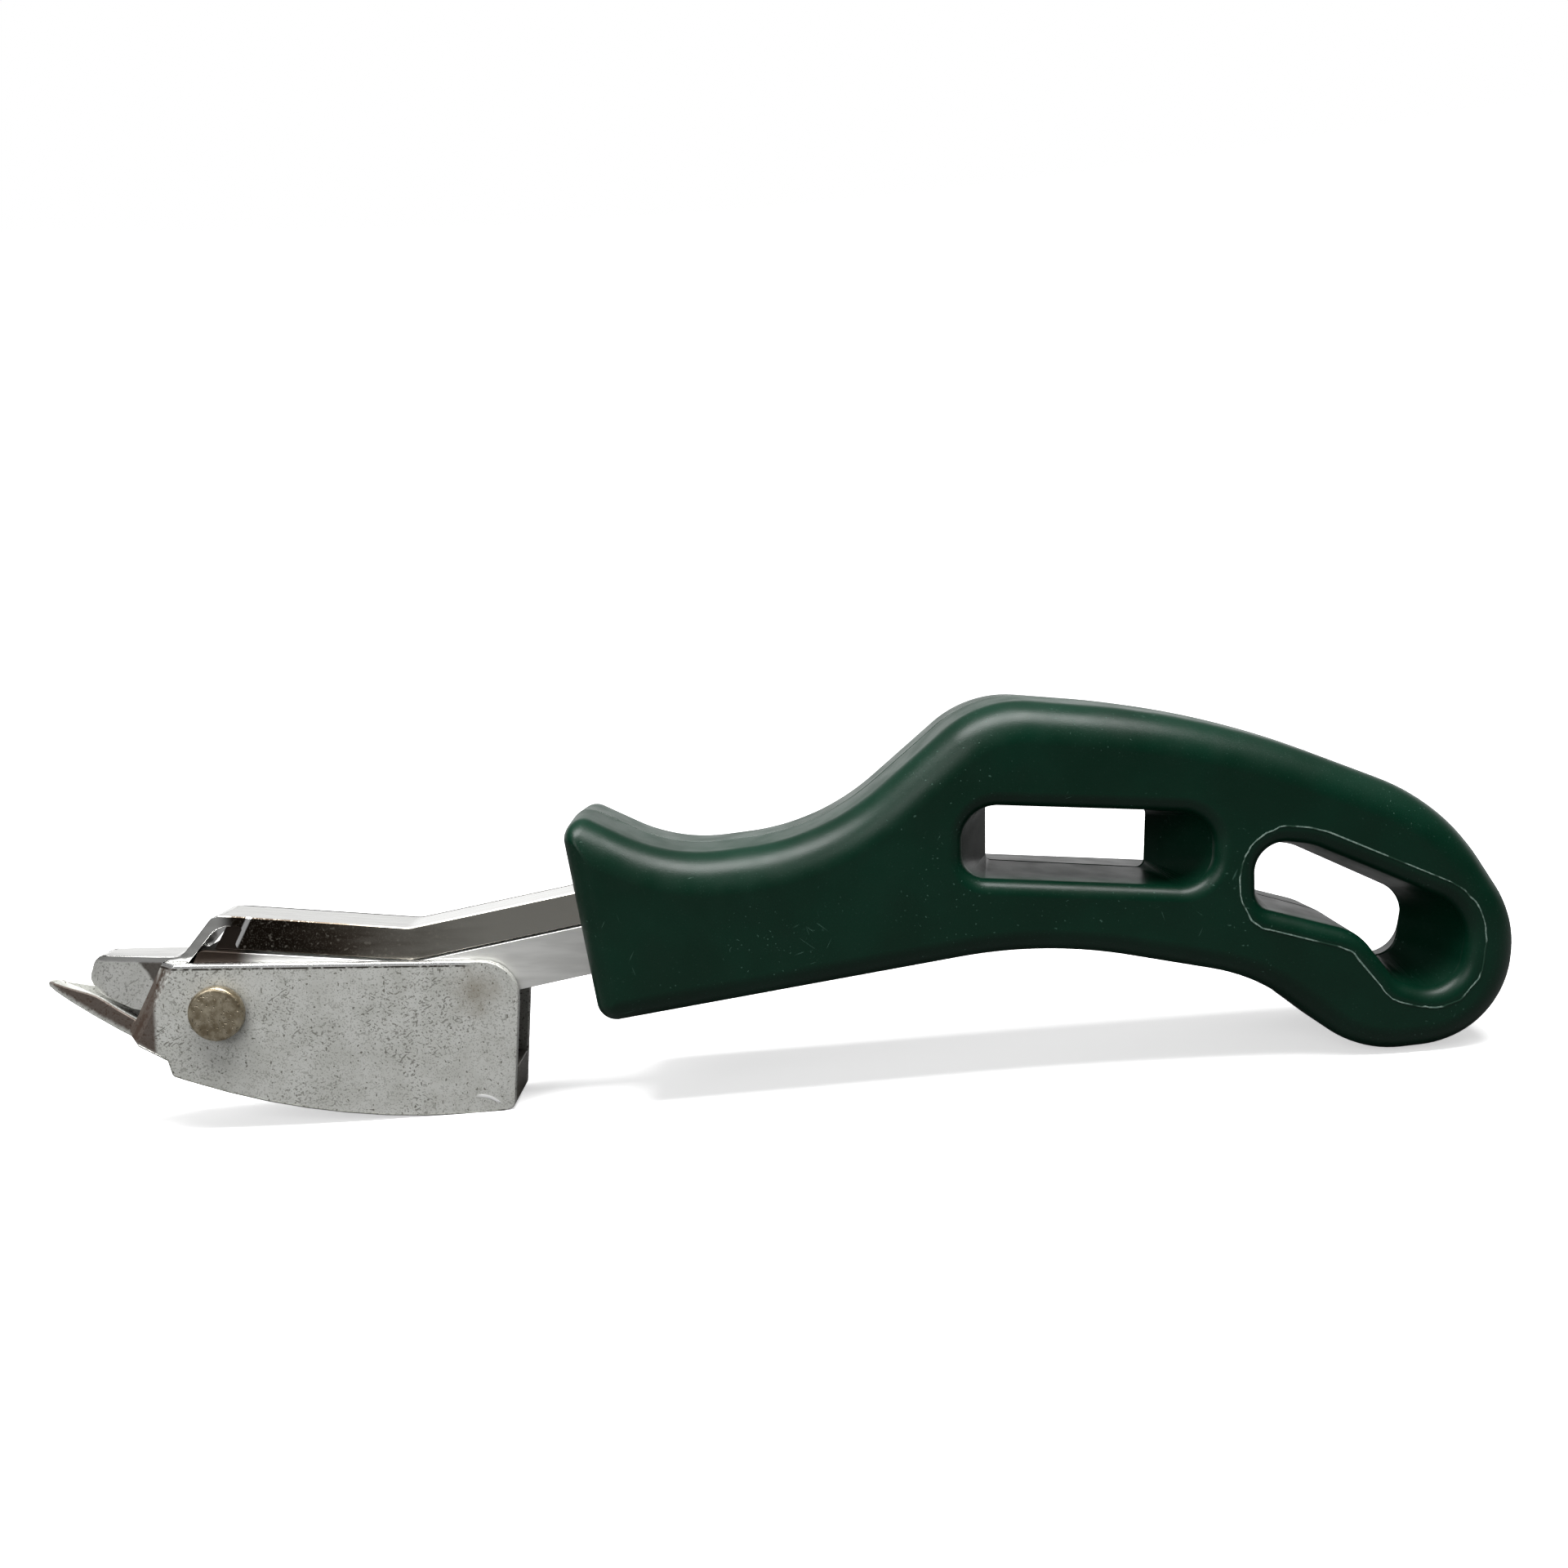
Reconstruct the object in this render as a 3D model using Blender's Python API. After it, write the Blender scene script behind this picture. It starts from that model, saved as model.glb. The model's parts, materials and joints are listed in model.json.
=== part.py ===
"""Jaw-type staple puller: a plated steel head on a hollow moulded plastic handle.

The tool is drawn in its own side view: x runs from the beak to the heel of the handle, z is up and
y is across. Every size below is in millimetres, and a piece is scaled to metres when it is finished.
At the end the whole tool is tipped until its curved sole and its heel both stand on z = 0.
"""
import math

import bmesh
import bpy
from mathutils import Matrix, Vector

MM = 0.001

# Clearances
GAP = 0.3               # between two pieces that rest on each other or turn in each other
OVERCUT = 1.0           # how far a cutter runs past the face that it opens

# Pivot
PIVOT_X = 24.2
PIVOT_Z = -2.55
RIVET_RADIUS = 2.3
RIVET_HEAD_RADIUS = 3.6
RIVET_HEAD_HEIGHT = 1.6
RIVET_HEAD_ROUND = 0.5
CLINCH_RADIUS = 3.2
CLINCH_HEIGHT = 1.1

# Shoe: the lower jaw, a folded channel with a curved sole
SHOE_FRONT = 18.35
SHOE_LENGTH = 45.0
SHOE_TOP = 3.5
SHOE_RISE = 0.65        # how much higher the rim is at the back
SHOE_DEPTH = 19.8       # from the rim to the lowest point of the sole
SHOE_WIDTH = 10.8
SHOE_SHEET = 1.25
SHOE_FOLD = 1.1         # radius of its folded edges
SHOE_REAR_CORNER = 4.8
SHOE_REAR_LEAN = 1.0
FOLD_LEAN = 4.7         # how far the front fold leans forward on its way down
FOLD_CHAMFER = 2.2      # how wide the slanted walls are that lead from the sides to the beak
FOLD_FOOT_RISE = 0.4    # from the beak's lower line to the foot of the fold
TOE_X = 17.3            # where the sole starts, behind a small step
TOE_STEP = 0.6
SOLE_RADIUS = 100.0
SOLE_LOW_POINT = 31.6   # behind the front of the rim
REAR_TAB_HEIGHT = 6.0
REAR_TAB_WIDTH = 7.6

# Beak: the pointed trough in front of the shoe
BEAK_WIDTH = 6.0
BEAK_SHEET = 1.0
BEAK_HEIGHT = 2.3       # of its walls where they meet the shoe
BEAK_HUMP_X = 7.0
BEAK_HUMP = 2.9         # of its walls at the hump
BEAK_TIP = 0.35
BEAK_SLOPE = -0.53      # of its underside
BEAK_PLAN = [(-1.0, 0.10), (0.0, 0.18), (1.2, 0.42), (3.5, 0.66), (6.5, 0.86), (10.0, 1.0)]

# Lever cap: the bright upper channel with the tongue at its front
CAP_WIDTH = 7.6
CAP_SHEET = 1.3
CAP_DEPTH = 4.2
CAP_FOLD = 0.55
TONGUE_WIDTH = 5.4
TONGUE_TIP = 5.85
TONGUE_TOP = 4.15
CHEEK_REACH = 12.2      # from the tip to the back of the cheeks, inside the shoe
CHEEK_FLARE = 0.3       # how far the cheeks spread on each side as they enter the shoe
CHEEK_LOW = -3.6
FLARE_START = 12.6
STEP_X = 18.7
DECK_FRONT_X = 23.3
DECK_FRONT_Z = 9.8
VALLEY_X = 48.7
VALLEY_Z = 8.1
NECK_X = 75.5
NECK_Z = 13.9
TANG_END = 104.0
TANG_RISE = 0.5

# Lever arm: the deeper channel below the cap, with the two ears that turn on the rivet
ARM_SHEET = 1.1
ARM_FRONT = 21.3
ARM_LOWER_SLOPE = 0.223
ARM_LOWER_Z = -0.05     # of the lower edge, where it leaves the shoe
ARM_LOWER_X = 63.0
TANG_LOWER_Z = 6.2
EAR_RADIUS = 5.3

# Spacer sleeve and torsion spring
SLEEVE_WALL = 0.6
WIRE_RADIUS = 0.42
COIL_PITCH = 1.15
COIL_END_GAP = 0.16     # between the coil and each ear of the arm, beyond the sleeve's own gap
UPPER_LEG_X = 38.0
LOWER_LEG_X = 40.0

# Handle
HANDLE_FRONT = 69.4
HANDLE_LENGTH = 120.5
HANDLE_BASE = -6.5
HANDLE_HEIGHT = 44.6
HANDLE_THICKNESS = 24.0
HANDLE_WALL = 2.8
HANDLE_EDGE = 4.2       # radius of its long outer edges
HANDLE_DRAFT = 0.35
RIB_THICKNESS = 1.6
BOSS_RADIUS = 3.4
PEG_RADIUS = 1.6
PEG_REACH = 4.0
# Corners of the outline: percent of the length, percent of the height, and a radius in millimetres.
HANDLE_CORNERS = [
    (-0.6, 70.7, 2.5),
    (11.5, 55.6, 21.5),
    (27.2, 61.2, 31.0),
    (43.7, 101.1, 15.0),
    (67.6, 96.2, 110.0),
    (92.1, 71.7, 26.5),
    (100.2, 39.7, 14.2),
    (99.7, 3.8, 13.2),
    (84.1, -1.3, 14.1),
    (72.7, 21.1, 23.0),
    (50.7, 30.9, 61.5),
    (3.8, 7.2, 2.8),
]
RIB_PLACES = [36.0, 69.5, 95.5]                 # percent of the length
TANG_PEGS = [(10.5, 30.0), (19.6, 31.0)]       # percent of the length and of the height
BODY_PEGS = [(37.5, 66.0), (69.5, 72.0)]

# Slots: a middle (percent of length and height), corners from it (x, z, radius) at the mouth, and
# how much of that length and height is left at the waist, where the two halves meet.
SLOT_LIP = 2.0
SLOT_WALL = 2.2
FINGER_SLOT = {
    "middle": (54.6, 60.0),
    "corners": [(-15.6, 4.9, 4.4), (15.9, 3.9, 4.2), (15.8, -5.5, 4.0), (-15.4, -4.3, 3.2)],
    "waist": (0.67, 0.86),
    "waist_shift": -0.9,
    "waist_round": 0.25,
}
HANG_SLOT = {
    "middle": (83.0, 42.0),
    "corners": [(-13.2, 8.6, 3.8), (-6.0, 7.9, 8.0), (14.1, -0.3, 6.0), (12.6, -11.6, 4.4),
                (5.2, -9.4, 3.2), (0.2, -3.2, 7.0), (-12.8, 0.0, 2.6)],
    "waist": (0.76, 0.82),
    "waist_shift": -0.8,
    "waist_round": 0.7,
}

# Facets
ARC_STEP = math.radians(15.0)
ARC_CHORD = 6.0
CIRCLE_SIDES = 32
COIL_STEPS = 20
EDGE_STEPS = 4
MIN_RADIUS = 0.12
SAME = 0.0005           # points closer than this are one point
FLAT_ANGLE = math.radians(0.4)

COLOURS = {
    "green_plastic": ((0.004, 0.045, 0.025, 1.0), 0.45, 0.0),
    "bright_chrome": ((0.80, 0.80, 0.80, 1.0), 0.12, 1.0),
    "dull_plating": ((0.55, 0.55, 0.52, 1.0), 0.38, 1.0),
    "rivet_brass": ((0.42, 0.36, 0.26, 1.0), 0.35, 1.0),
    "spring_steel": ((0.40, 0.40, 0.42, 1.0), 0.30, 1.0),
}


# Outlines -------------------------------------------------------------------------------------

def offset_corners(corners, distance, closed=True):
    """Move a run of corners to the left of its direction; arcs keep their centres."""
    points = [Vector((x, z)) for x, z, _ in corners]
    count = len(points)
    moved = []
    for i, (x, z, radius) in enumerate(corners):
        before = points[i] - points[i - 1] if closed or i > 0 else points[1] - points[0]
        after = points[(i + 1) % count] - points[i] if closed or i < count - 1 else before
        a = before.normalized()
        b = after.normalized()
        left_a = Vector((-a.y, a.x))
        left_b = Vector((-b.y, b.x))
        turn = math.atan2(a.x * b.y - a.y * b.x, a.dot(b))
        shift = (left_a + left_b) * distance / (1.0 + left_a.dot(left_b))
        grown = radius - math.copysign(distance, turn) if radius > 0 and turn else radius
        moved.append((x + shift.x, z + shift.y, max(grown, MIN_RADIUS)))
    return moved


def rounded(corners, design=None):
    """Points of a closed outline whose corners (x, z, radius) are rounded by arcs.

    The radii of the design, if it is given, set how many facets each arc has, so that an outline
    and the same outline moved inwards have equal counts.
    """
    points = [Vector((x, z)) for x, z, _ in corners]
    count = len(points)
    turns = []
    reaches = []
    for i, (_, _, radius) in enumerate(corners):
        a = (points[i] - points[i - 1]).normalized()
        b = (points[(i + 1) % count] - points[i]).normalized()
        turn = math.atan2(a.x * b.y - a.y * b.x, a.dot(b))
        turns.append(turn)
        reaches.append(max(radius, MIN_RADIUS) * abs(math.tan(turn / 2.0)))
    limits = []
    for i in range(count):
        here = (points[(i + 1) % count] - points[i]).length
        need = reaches[i] + reaches[(i + 1) % count]
        limits.append(min(1.0, 0.98 * here / max(need, 1e-9)))
    outline = []
    for i, corner in enumerate(points):
        reach = reaches[i] * min(limits[i], limits[i - 1])
        a = (points[i] - points[i - 1]).normalized()
        b = (points[(i + 1) % count] - points[i]).normalized()
        turn = turns[i]
        drawn = (design or corners)[i][2]
        steps = max(1, math.ceil(abs(turn) / ARC_STEP), math.ceil(abs(turn) * drawn / ARC_CHORD))
        radius = reach / abs(math.tan(turn / 2.0))
        start = corner - a * reach
        side = Vector((-a.y, a.x)) * math.copysign(radius, turn)
        centre = start + side
        for k in range(steps + 1):
            spin = Matrix.Rotation(turn * k / steps, 2)
            outline.append(centre - spin @ side)
    return outline


def turned_left(corners):
    """The same corners, in the order that keeps the inside on the left."""
    area = 0.0
    for (x0, z0, _), (x1, z1, _) in zip(corners, corners[1:] + corners[:1]):
        area += x0 * z1 - x1 * z0
    return corners if area > 0 else corners[::-1]


def inset_outline(corners, distance):
    """A closed outline moved inwards, with as many points as the outline itself."""
    design = turned_left(corners)
    return rounded(offset_corners(design, distance), design)


def circle(x, z, radius, sides=CIRCLE_SIDES):
    """Points of a circle in the side view."""
    steps = [2.0 * math.pi * k / sides for k in range(sides)]
    return [Vector((x + radius * math.cos(a), z + radius * math.sin(a))) for a in steps]


def handle_place(along, up):
    """A point of the handle from percent of its length and percent of its height."""
    return (HANDLE_FRONT + HANDLE_LENGTH * along / 100.0, HANDLE_BASE + HANDLE_HEIGHT * up / 100.0)


# Solids ---------------------------------------------------------------------------------------

def loft(rings):
    """A closed mesh through rings of equal count, each ring an outline and its y."""
    bm = bmesh.new()
    loops = []
    for outline, y in rings:
        verts = [bm.verts.new((p.x, y, p.y)) for p in outline]
        pairs = zip(verts, verts[1:] + verts[:1])
        loops.append((verts, [bm.edges.new(pair) for pair in pairs]))
    for (_, near), (_, far) in zip(loops, loops[1:]):
        bmesh.ops.bridge_loops(bm, edges=near + far)
    bm.faces.new(loops[0][0])
    bm.faces.new(loops[-1][0])
    bmesh.ops.recalc_face_normals(bm, faces=bm.faces)
    return bm


def slab(outline, y0, y1):
    """A flat plate: one outline between two values of y."""
    return loft([(outline, y0), (outline, y1)])


def block(x0, x1, y0, y1, z0, z1):
    """A rectangular cutter."""
    return slab([Vector((x0, z0)), Vector((x1, z0)), Vector((x1, z1)), Vector((x0, z1))], y0, y1)


def round_long_edges(bm, radius, steps, chosen):
    """Round the edges that run across no y and whose middle (x, y, z) is chosen."""
    edges = []
    for edge in bm.edges:
        middle = (edge.verts[0].co + edge.verts[1].co) / 2.0
        if abs(edge.verts[0].co.y - edge.verts[1].co.y) < SAME and chosen(*middle):
            edges.append(edge)
    bmesh.ops.bevel(bm, geom=edges, offset=radius, segments=steps, profile=0.5,
                    affect='EDGES', clamp_overlap=True, material=-1)
    return bm


def narrow(bm, plan):
    """Scale y along x by a plan of (x, share) points, with a cut across the mesh at each point."""
    for x, _ in plan:
        bmesh.ops.bisect_plane(bm, geom=bm.verts[:] + bm.edges[:] + bm.faces[:], dist=SAME,
                               plane_co=(x, 0.0, 0.0), plane_no=(1.0, 0.0, 0.0))
    for vert in bm.verts:
        x = min(max(vert.co.x, plan[0][0]), plan[-1][0])
        for (x0, share0), (x1, share1) in zip(plan, plan[1:]):
            if x0 <= x <= x1:
                vert.co.y *= share0 + (share1 - share0) * (x - x0) / (x1 - x0)
                break
    return bm


def as_object(bm, name):
    """Make a bmesh an object of the scene."""
    mesh = bpy.data.meshes.new(name)
    bm.to_mesh(mesh)
    bm.free()
    piece = bpy.data.objects.new(name, mesh)
    bpy.context.scene.collection.objects.link(piece)
    return piece


def combine(piece, others, operation):
    """Cut the others out of a piece, or join them to it, and let the others go."""
    tidy_mesh(piece)
    for other in others:
        tool = as_object(other, "tool") if isinstance(other, bmesh.types.BMesh) else other
        tidy_mesh(tool)
        step = piece.modifiers.new(operation.lower(), 'BOOLEAN')
        step.operation = operation
        step.solver = 'EXACT'
        step.object = tool
        bpy.context.view_layer.update()
        graph = bpy.context.evaluated_depsgraph_get()
        result = bpy.data.meshes.new_from_object(piece.evaluated_get(graph))
        piece.modifiers.remove(step)
        piece.data = result
        bpy.data.objects.remove(tool)
        tidy_mesh(piece)
    return piece


def cut(piece, *others):
    return combine(piece, others, 'DIFFERENCE')


def join(piece, *others):
    return combine(piece, others, 'UNION')


def tidy_mesh(piece):
    """Merge the points that a cut left on top of each other, and keep every face flat."""
    bm = bmesh.new()
    bm.from_mesh(piece.data)
    bmesh.ops.remove_doubles(bm, verts=bm.verts, dist=SAME)
    bmesh.ops.dissolve_degenerate(bm, edges=bm.edges, dist=SAME)
    bmesh.ops.triangulate(bm, faces=bm.faces)
    bm.to_mesh(piece.data)
    bm.free()


def merge_flat_faces(piece):
    """Join the triangles of each flat face again, which drops the points that no edge needs."""
    bm = bmesh.new()
    bm.from_mesh(piece.data)
    bmesh.ops.dissolve_limit(bm, angle_limit=FLAT_ANGLE, verts=bm.verts, edges=bm.edges,
                             use_dissolve_boundaries=False, delimit=set())
    bmesh.ops.triangulate(bm, faces=bm.faces)
    bm.to_mesh(piece.data)
    bm.free()


def finish_piece(piece, name, finish, smooth=30.0):
    """Name a piece, give it its material and shade its round faces smooth."""
    colour, roughness, metallic = COLOURS[finish]
    piece.name = name
    piece.data.name = name
    merge_flat_faces(piece)
    piece.data.transform(Matrix.Scale(MM, 4))
    material = bpy.data.materials.new(name + "_" + finish)
    material.use_nodes = True
    shader = material.node_tree.nodes["Principled BSDF"]
    shader.inputs["Base Color"].default_value = colour
    shader.inputs["Roughness"].default_value = roughness
    shader.inputs["Metallic"].default_value = metallic
    piece.data.materials.clear()
    piece.data.materials.append(material)
    piece.data.shade_smooth()
    piece.data.set_sharp_from_angle(angle=math.radians(smooth))
    return piece


# Side views of the steel pieces ---------------------------------------------------------------

def sole_height(x):
    """Height of the sole's lower line: a shallow arc."""
    from_low = x - SHOE_FRONT - SOLE_LOW_POINT
    return SHOE_TOP - SHOE_DEPTH + from_low ** 2 / (2.0 * SOLE_RADIUS)


def fold_line():
    """Top and foot of the shoe's front line, in the middle of the tool."""
    top = Vector((SHOE_FRONT - FOLD_CHAMFER, SHOE_TOP))
    foot_x = top.x - FOLD_LEAN
    return top, Vector((foot_x, beak_underside(foot_x) + FOLD_FOOT_RISE))


def shoe_corners():
    """The shoe's side, from the top of its front line round to the foot of that line."""
    fold_top, fold_foot = fold_line()
    rear = SHOE_FRONT + SHOE_LENGTH
    low_x = SHOE_FRONT + SOLE_LOW_POINT
    rear_foot = rear - SHOE_REAR_LEAN
    toe_x = TOE_X + TOE_STEP
    slope_rear = (rear_foot - low_x) / SOLE_RADIUS
    slope_toe = (toe_x - low_x) / SOLE_RADIUS
    foot_z = sole_height(rear_foot)
    toe_z = sole_height(toe_x)
    middle_x = (toe_z - foot_z + slope_rear * rear_foot - slope_toe * toe_x) / (slope_rear - slope_toe)
    middle_z = foot_z + slope_rear * (middle_x - rear_foot)
    return [(fold_top.x, fold_top.y, 0.4),
            (rear, SHOE_TOP + SHOE_RISE, SHOE_REAR_CORNER),
            (rear_foot, foot_z, 1.0),
            (middle_x, middle_z, SOLE_RADIUS),
            (toe_x, toe_z, 0.6),
            (TOE_X, beak_underside(TOE_X) + FOLD_FOOT_RISE, 0.3),
            (fold_foot.x, fold_foot.y, 0.5)]


def beak_underside(x):
    """Height of the beak's lower line."""
    return -BEAK_TIP + BEAK_SLOPE * x


def beak_rim(x):
    """Height of the rim of the trough behind its hump."""
    root = SHOE_FRONT - 1.0
    share = (x - BEAK_HUMP_X) / (root - BEAK_HUMP_X)
    return beak_underside(x) + BEAK_HUMP + (BEAK_HEIGHT - BEAK_HUMP) * share


def beak_corners():
    """The beak's side: its tip, its sloping underside and the curved rim of the trough."""
    root = SHOE_FRONT - 1.0
    return [(-0.05, BEAK_TIP, 0.3),
            (0.0, -BEAK_TIP, 0.3),
            (root, beak_underside(root), 0.3),
            (root, beak_rim(root), 0.3),
            (BEAK_HUMP_X, beak_rim(BEAK_HUMP_X), 5.0)]


def lever_line():
    """Top line of the lever cap from the tongue over the step and the valley to the tang."""
    return [(TONGUE_TIP, TONGUE_TOP, 0.0),
            (STEP_X, TONGUE_TOP, 2.2),
            (DECK_FRONT_X, DECK_FRONT_Z, 2.0),
            (VALLEY_X, VALLEY_Z, 4.0),
            (NECK_X, NECK_Z, 6.0),
            (TANG_END, NECK_Z + TANG_RISE, 0.0)]


def below_lever(distance):
    """The lever line moved down by a distance."""
    return offset_corners(lever_line(), -distance, closed=False)


def cheek_back():
    """Where the cheeks of the tongue end."""
    return TONGUE_TIP + CHEEK_REACH


def cap_corners():
    """The cap's side: thin sheet at the step, flanges below the deck, cheeks below the tongue."""
    sheet = below_lever(CAP_SHEET)
    flange = below_lever(CAP_DEPTH)
    end_x, end_z, _ = flange[5]
    front_z = flange[2][1] - 0.1
    return [(TONGUE_TIP - 0.2, 0.5, 1.5),
            (TONGUE_TIP + 0.9, TONGUE_TOP, 2.4),
            *lever_line()[1:5],
            (end_x, lever_line()[5][1], 0.3),
            (end_x, end_z, 0.3),
            flange[4],
            flange[3],
            (DECK_FRONT_X + 2.4, front_z, 0.7),
            (DECK_FRONT_X + 3.8, sheet[2][1] - 0.2, 0.3),
            sheet[2],
            sheet[1],
            (cheek_back() + 0.3, sheet[1][1], 0.3),
            (cheek_back(), CHEEK_LOW, 0.6),
            (TONGUE_TIP + 6.3, CHEEK_LOW + 0.6, 2.0),
            (TONGUE_TIP + 1.5, -1.05, 1.0)]


def lower_line(x):
    """Height of the arm's lower edge between the ears and the handle."""
    return ARM_LOWER_Z + ARM_LOWER_SLOPE * (x - ARM_LOWER_X)


def arm_corners():
    """The arm's wide lower part: shoulder below the cap, tang, straight lower edge and round ear."""
    shoulder = below_lever(CAP_DEPTH + GAP)
    ear_back = PIVOT_X + 3.0
    return [(ARM_FRONT, shoulder[2][1], 1.0),
            shoulder[3],
            shoulder[4],
            (TANG_END, shoulder[5][1], 0.5),
            (TANG_END, TANG_LOWER_Z, 1.5),
            (NECK_X, lower_line(NECK_X), 6.0),
            (ear_back, lower_line(ear_back), EAR_RADIUS),
            (PIVOT_X - EAR_RADIUS + 0.3, PIVOT_Z - EAR_RADIUS - 0.2, EAR_RADIUS - 0.6),
            (PIVOT_X - EAR_RADIUS - 0.1, PIVOT_Z + 2.6, 4.0)]


def arm_crest_corners(drop):
    """The arm's narrow upper part inside the cap, lowered by a drop."""
    crest = below_lever(CAP_SHEET + GAP + drop)
    shoulder = below_lever(CAP_DEPTH + GAP + 2.0 * ARM_SHEET)
    return [(DECK_FRONT_X + 1.2, crest[2][1], 0.4),
            crest[3],
            crest[4],
            (TANG_END - 1.0, crest[5][1], 0.3),
            (TANG_END - 1.0, shoulder[5][1], 0.3),
            shoulder[4],
            shoulder[3],
            (ARM_FRONT + 0.4, shoulder[2][1], 0.3)]


# Pieces ---------------------------------------------------------------------------------------

def shave_fold(bm, half, sheet):
    """Cut both front edges of a shoe solid off along the slanted walls, moved in by a sheet."""
    top, foot = fold_line()
    down = (foot - top).normalized()
    for side in (-1.0, 1.0):
        normal = Vector((down.y, side, -down.x)).normalized()
        point = Vector((top.x, side * (half - FOLD_CHAMFER), top.y)) - normal * sheet
        cut_open = bmesh.ops.bisect_plane(bm, geom=bm.verts[:] + bm.edges[:] + bm.faces[:], dist=SAME,
                                          plane_co=point, plane_no=normal, clear_outer=True)
        rim = [g for g in cut_open["geom_cut"] if isinstance(g, bmesh.types.BMEdge)]
        bmesh.ops.holes_fill(bm, edges=rim)
    bmesh.ops.recalc_face_normals(bm, faces=bm.faces)
    return bm


def make_shoe():
    """The folded shoe: two side plates, sole, slanted front walls, rear tab and the beak."""
    half = SHOE_WIDTH / 2.0
    rear = SHOE_FRONT + SHOE_LENGTH
    body = shave_fold(slab(rounded(turned_left(shoe_corners())), -half, half), half, 0.0)
    rim = SHOE_TOP - 0.3
    round_long_edges(body, SHOE_FOLD, 3,
                     lambda x, y, z: z < rim and x < rear - 2.0 and abs(y) > half - SAME)
    shoe = as_object(body, "shoe")
    beak = slab(rounded(beak_corners()), -BEAK_WIDTH / 2.0, BEAK_WIDTH / 2.0)
    join(shoe, narrow(beak, BEAK_PLAN))

    inside = half - SHOE_SHEET
    low = SHOE_TOP - SHOE_DEPTH
    hollow = slab(inset_outline(shoe_corners(), SHOE_SHEET), -inside, inside)
    shave_fold(hollow, half, SHOE_SHEET)
    over_rim = block(SHOE_FRONT + SHOE_SHEET, rear + OVERCUT, -inside, inside,
                     SHOE_TOP - 2.0 * SHOE_SHEET, SHOE_TOP + SHOE_RISE + OVERCUT)
    behind = block(rear - 3.0, rear + OVERCUT, -inside, inside,
                   low + REAR_TAB_HEIGHT, SHOE_TOP + SHOE_RISE + OVERCUT)
    fold_top, fold_foot = fold_line()
    gate_half = TONGUE_WIDTH / 2.0 + CHEEK_FLARE + GAP
    gate_front = fold_foot.x - 2.0
    gate_back = fold_top.x + 4.0
    top = SHOE_TOP + OVERCUT
    gate_side = [Vector((gate_front, beak_rim(gate_front))), Vector((gate_back, beak_rim(gate_back))),
                 Vector((gate_back, top)), Vector((gate_front, top))]
    gate = slab(gate_side, -gate_half, gate_half)
    cut(shoe, hollow, over_rim, behind, gate)

    trough_half = BEAK_WIDTH / 2.0 - BEAK_SHEET
    trough_corners = [(-2.0, BEAK_TIP + 6.0, 0.2),
                      (0.6, -BEAK_TIP + BEAK_SHEET - 0.4, 0.8),
                      (SHOE_FRONT + 1.0, beak_underside(SHOE_FRONT + 1.0) + BEAK_SHEET * 1.2, 0.2),
                      (SHOE_FRONT + 1.0, BEAK_TIP + 6.0, 0.2)]
    trough = slab(rounded(trough_corners), -trough_half, trough_half)
    cut(shoe, narrow(trough, BEAK_PLAN))

    for side in (-1.0, 1.0):
        edge = side * REAR_TAB_WIDTH / 2.0
        outer = side * (inside - 0.02)
        notch = block(rear - 3.0, rear + OVERCUT, min(edge, outer), max(edge, outer),
                      low + SHOE_SHEET * 1.6, low + REAR_TAB_HEIGHT + OVERCUT)
        cut(shoe, notch)
    hole = slab(circle(PIVOT_X, PIVOT_Z, RIVET_RADIUS + GAP), -half - OVERCUT, half + OVERCUT)
    cut(shoe, hole)
    return finish_piece(shoe, "shoe", "dull_plating")


def cap_plan():
    """How wide the cap is along x, as shares of its full width."""
    tongue = TONGUE_WIDTH / CAP_WIDTH
    flare = (TONGUE_WIDTH + 2.0 * CHEEK_FLARE) / CAP_WIDTH
    return [(TONGUE_TIP - 1.0, 0.42 * tongue),
            (TONGUE_TIP + 0.3, 0.42 * tongue),
            (TONGUE_TIP + 2.5, 0.82 * tongue),
            (TONGUE_TIP + 6.0, tongue),
            (FLARE_START, tongue),
            (FLARE_START + 2.5, flare),
            (STEP_X, flare),
            (DECK_FRONT_X, 1.0),
            (TANG_END + 1.0, 1.0)]


def make_lever_cap():
    """The cap: tongue, step, deck, valley and tang strip pressed from one sheet."""
    half = CAP_WIDTH / 2.0
    outline = rounded(turned_left(cap_corners()))
    body = slab(outline, -half, half)
    step_top = TONGUE_TOP - CAP_SHEET

    def folded(x, y, z):
        """True along the folds at the top of the flanges and of the cheeks."""
        on_deck = x > DECK_FRONT_X + 2.0 and z > lever_height(x) - CAP_FOLD
        return on_deck or (x < FLARE_START and z > step_top)

    round_long_edges(body, CAP_FOLD, 3, folded)
    cap = as_object(narrow(body, cap_plan()), "lever_cap")

    inside = half - CAP_SHEET
    under = below_lever(CAP_SHEET)
    deck_hollow = [(DECK_FRONT_X + 1.6, under[2][1], 0.4), under[3], under[4],
                   (TANG_END + OVERCUT, under[5][1], 0.2),
                   (TANG_END + OVERCUT, -2.0, 0.2), (DECK_FRONT_X + 1.6, -2.0, 0.2)]
    cheek_half = TONGUE_WIDTH / 2.0 - CAP_SHEET
    cheek_front = TONGUE_TIP + 1.6
    cheek_end = cheek_back() + OVERCUT
    cheek_low = CHEEK_LOW - OVERCUT
    cheek_hollow = [(cheek_front, step_top, 0.8), (cheek_end, step_top, 0.1),
                    (cheek_end, cheek_low, 0.2), (cheek_front, cheek_low, 0.2)]
    cut(cap,
        slab(rounded(turned_left(deck_hollow)), -inside, inside),
        slab(rounded(turned_left(cheek_hollow)), -cheek_half, cheek_half))
    return finish_piece(cap, "lever_cap", "bright_chrome")


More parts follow.
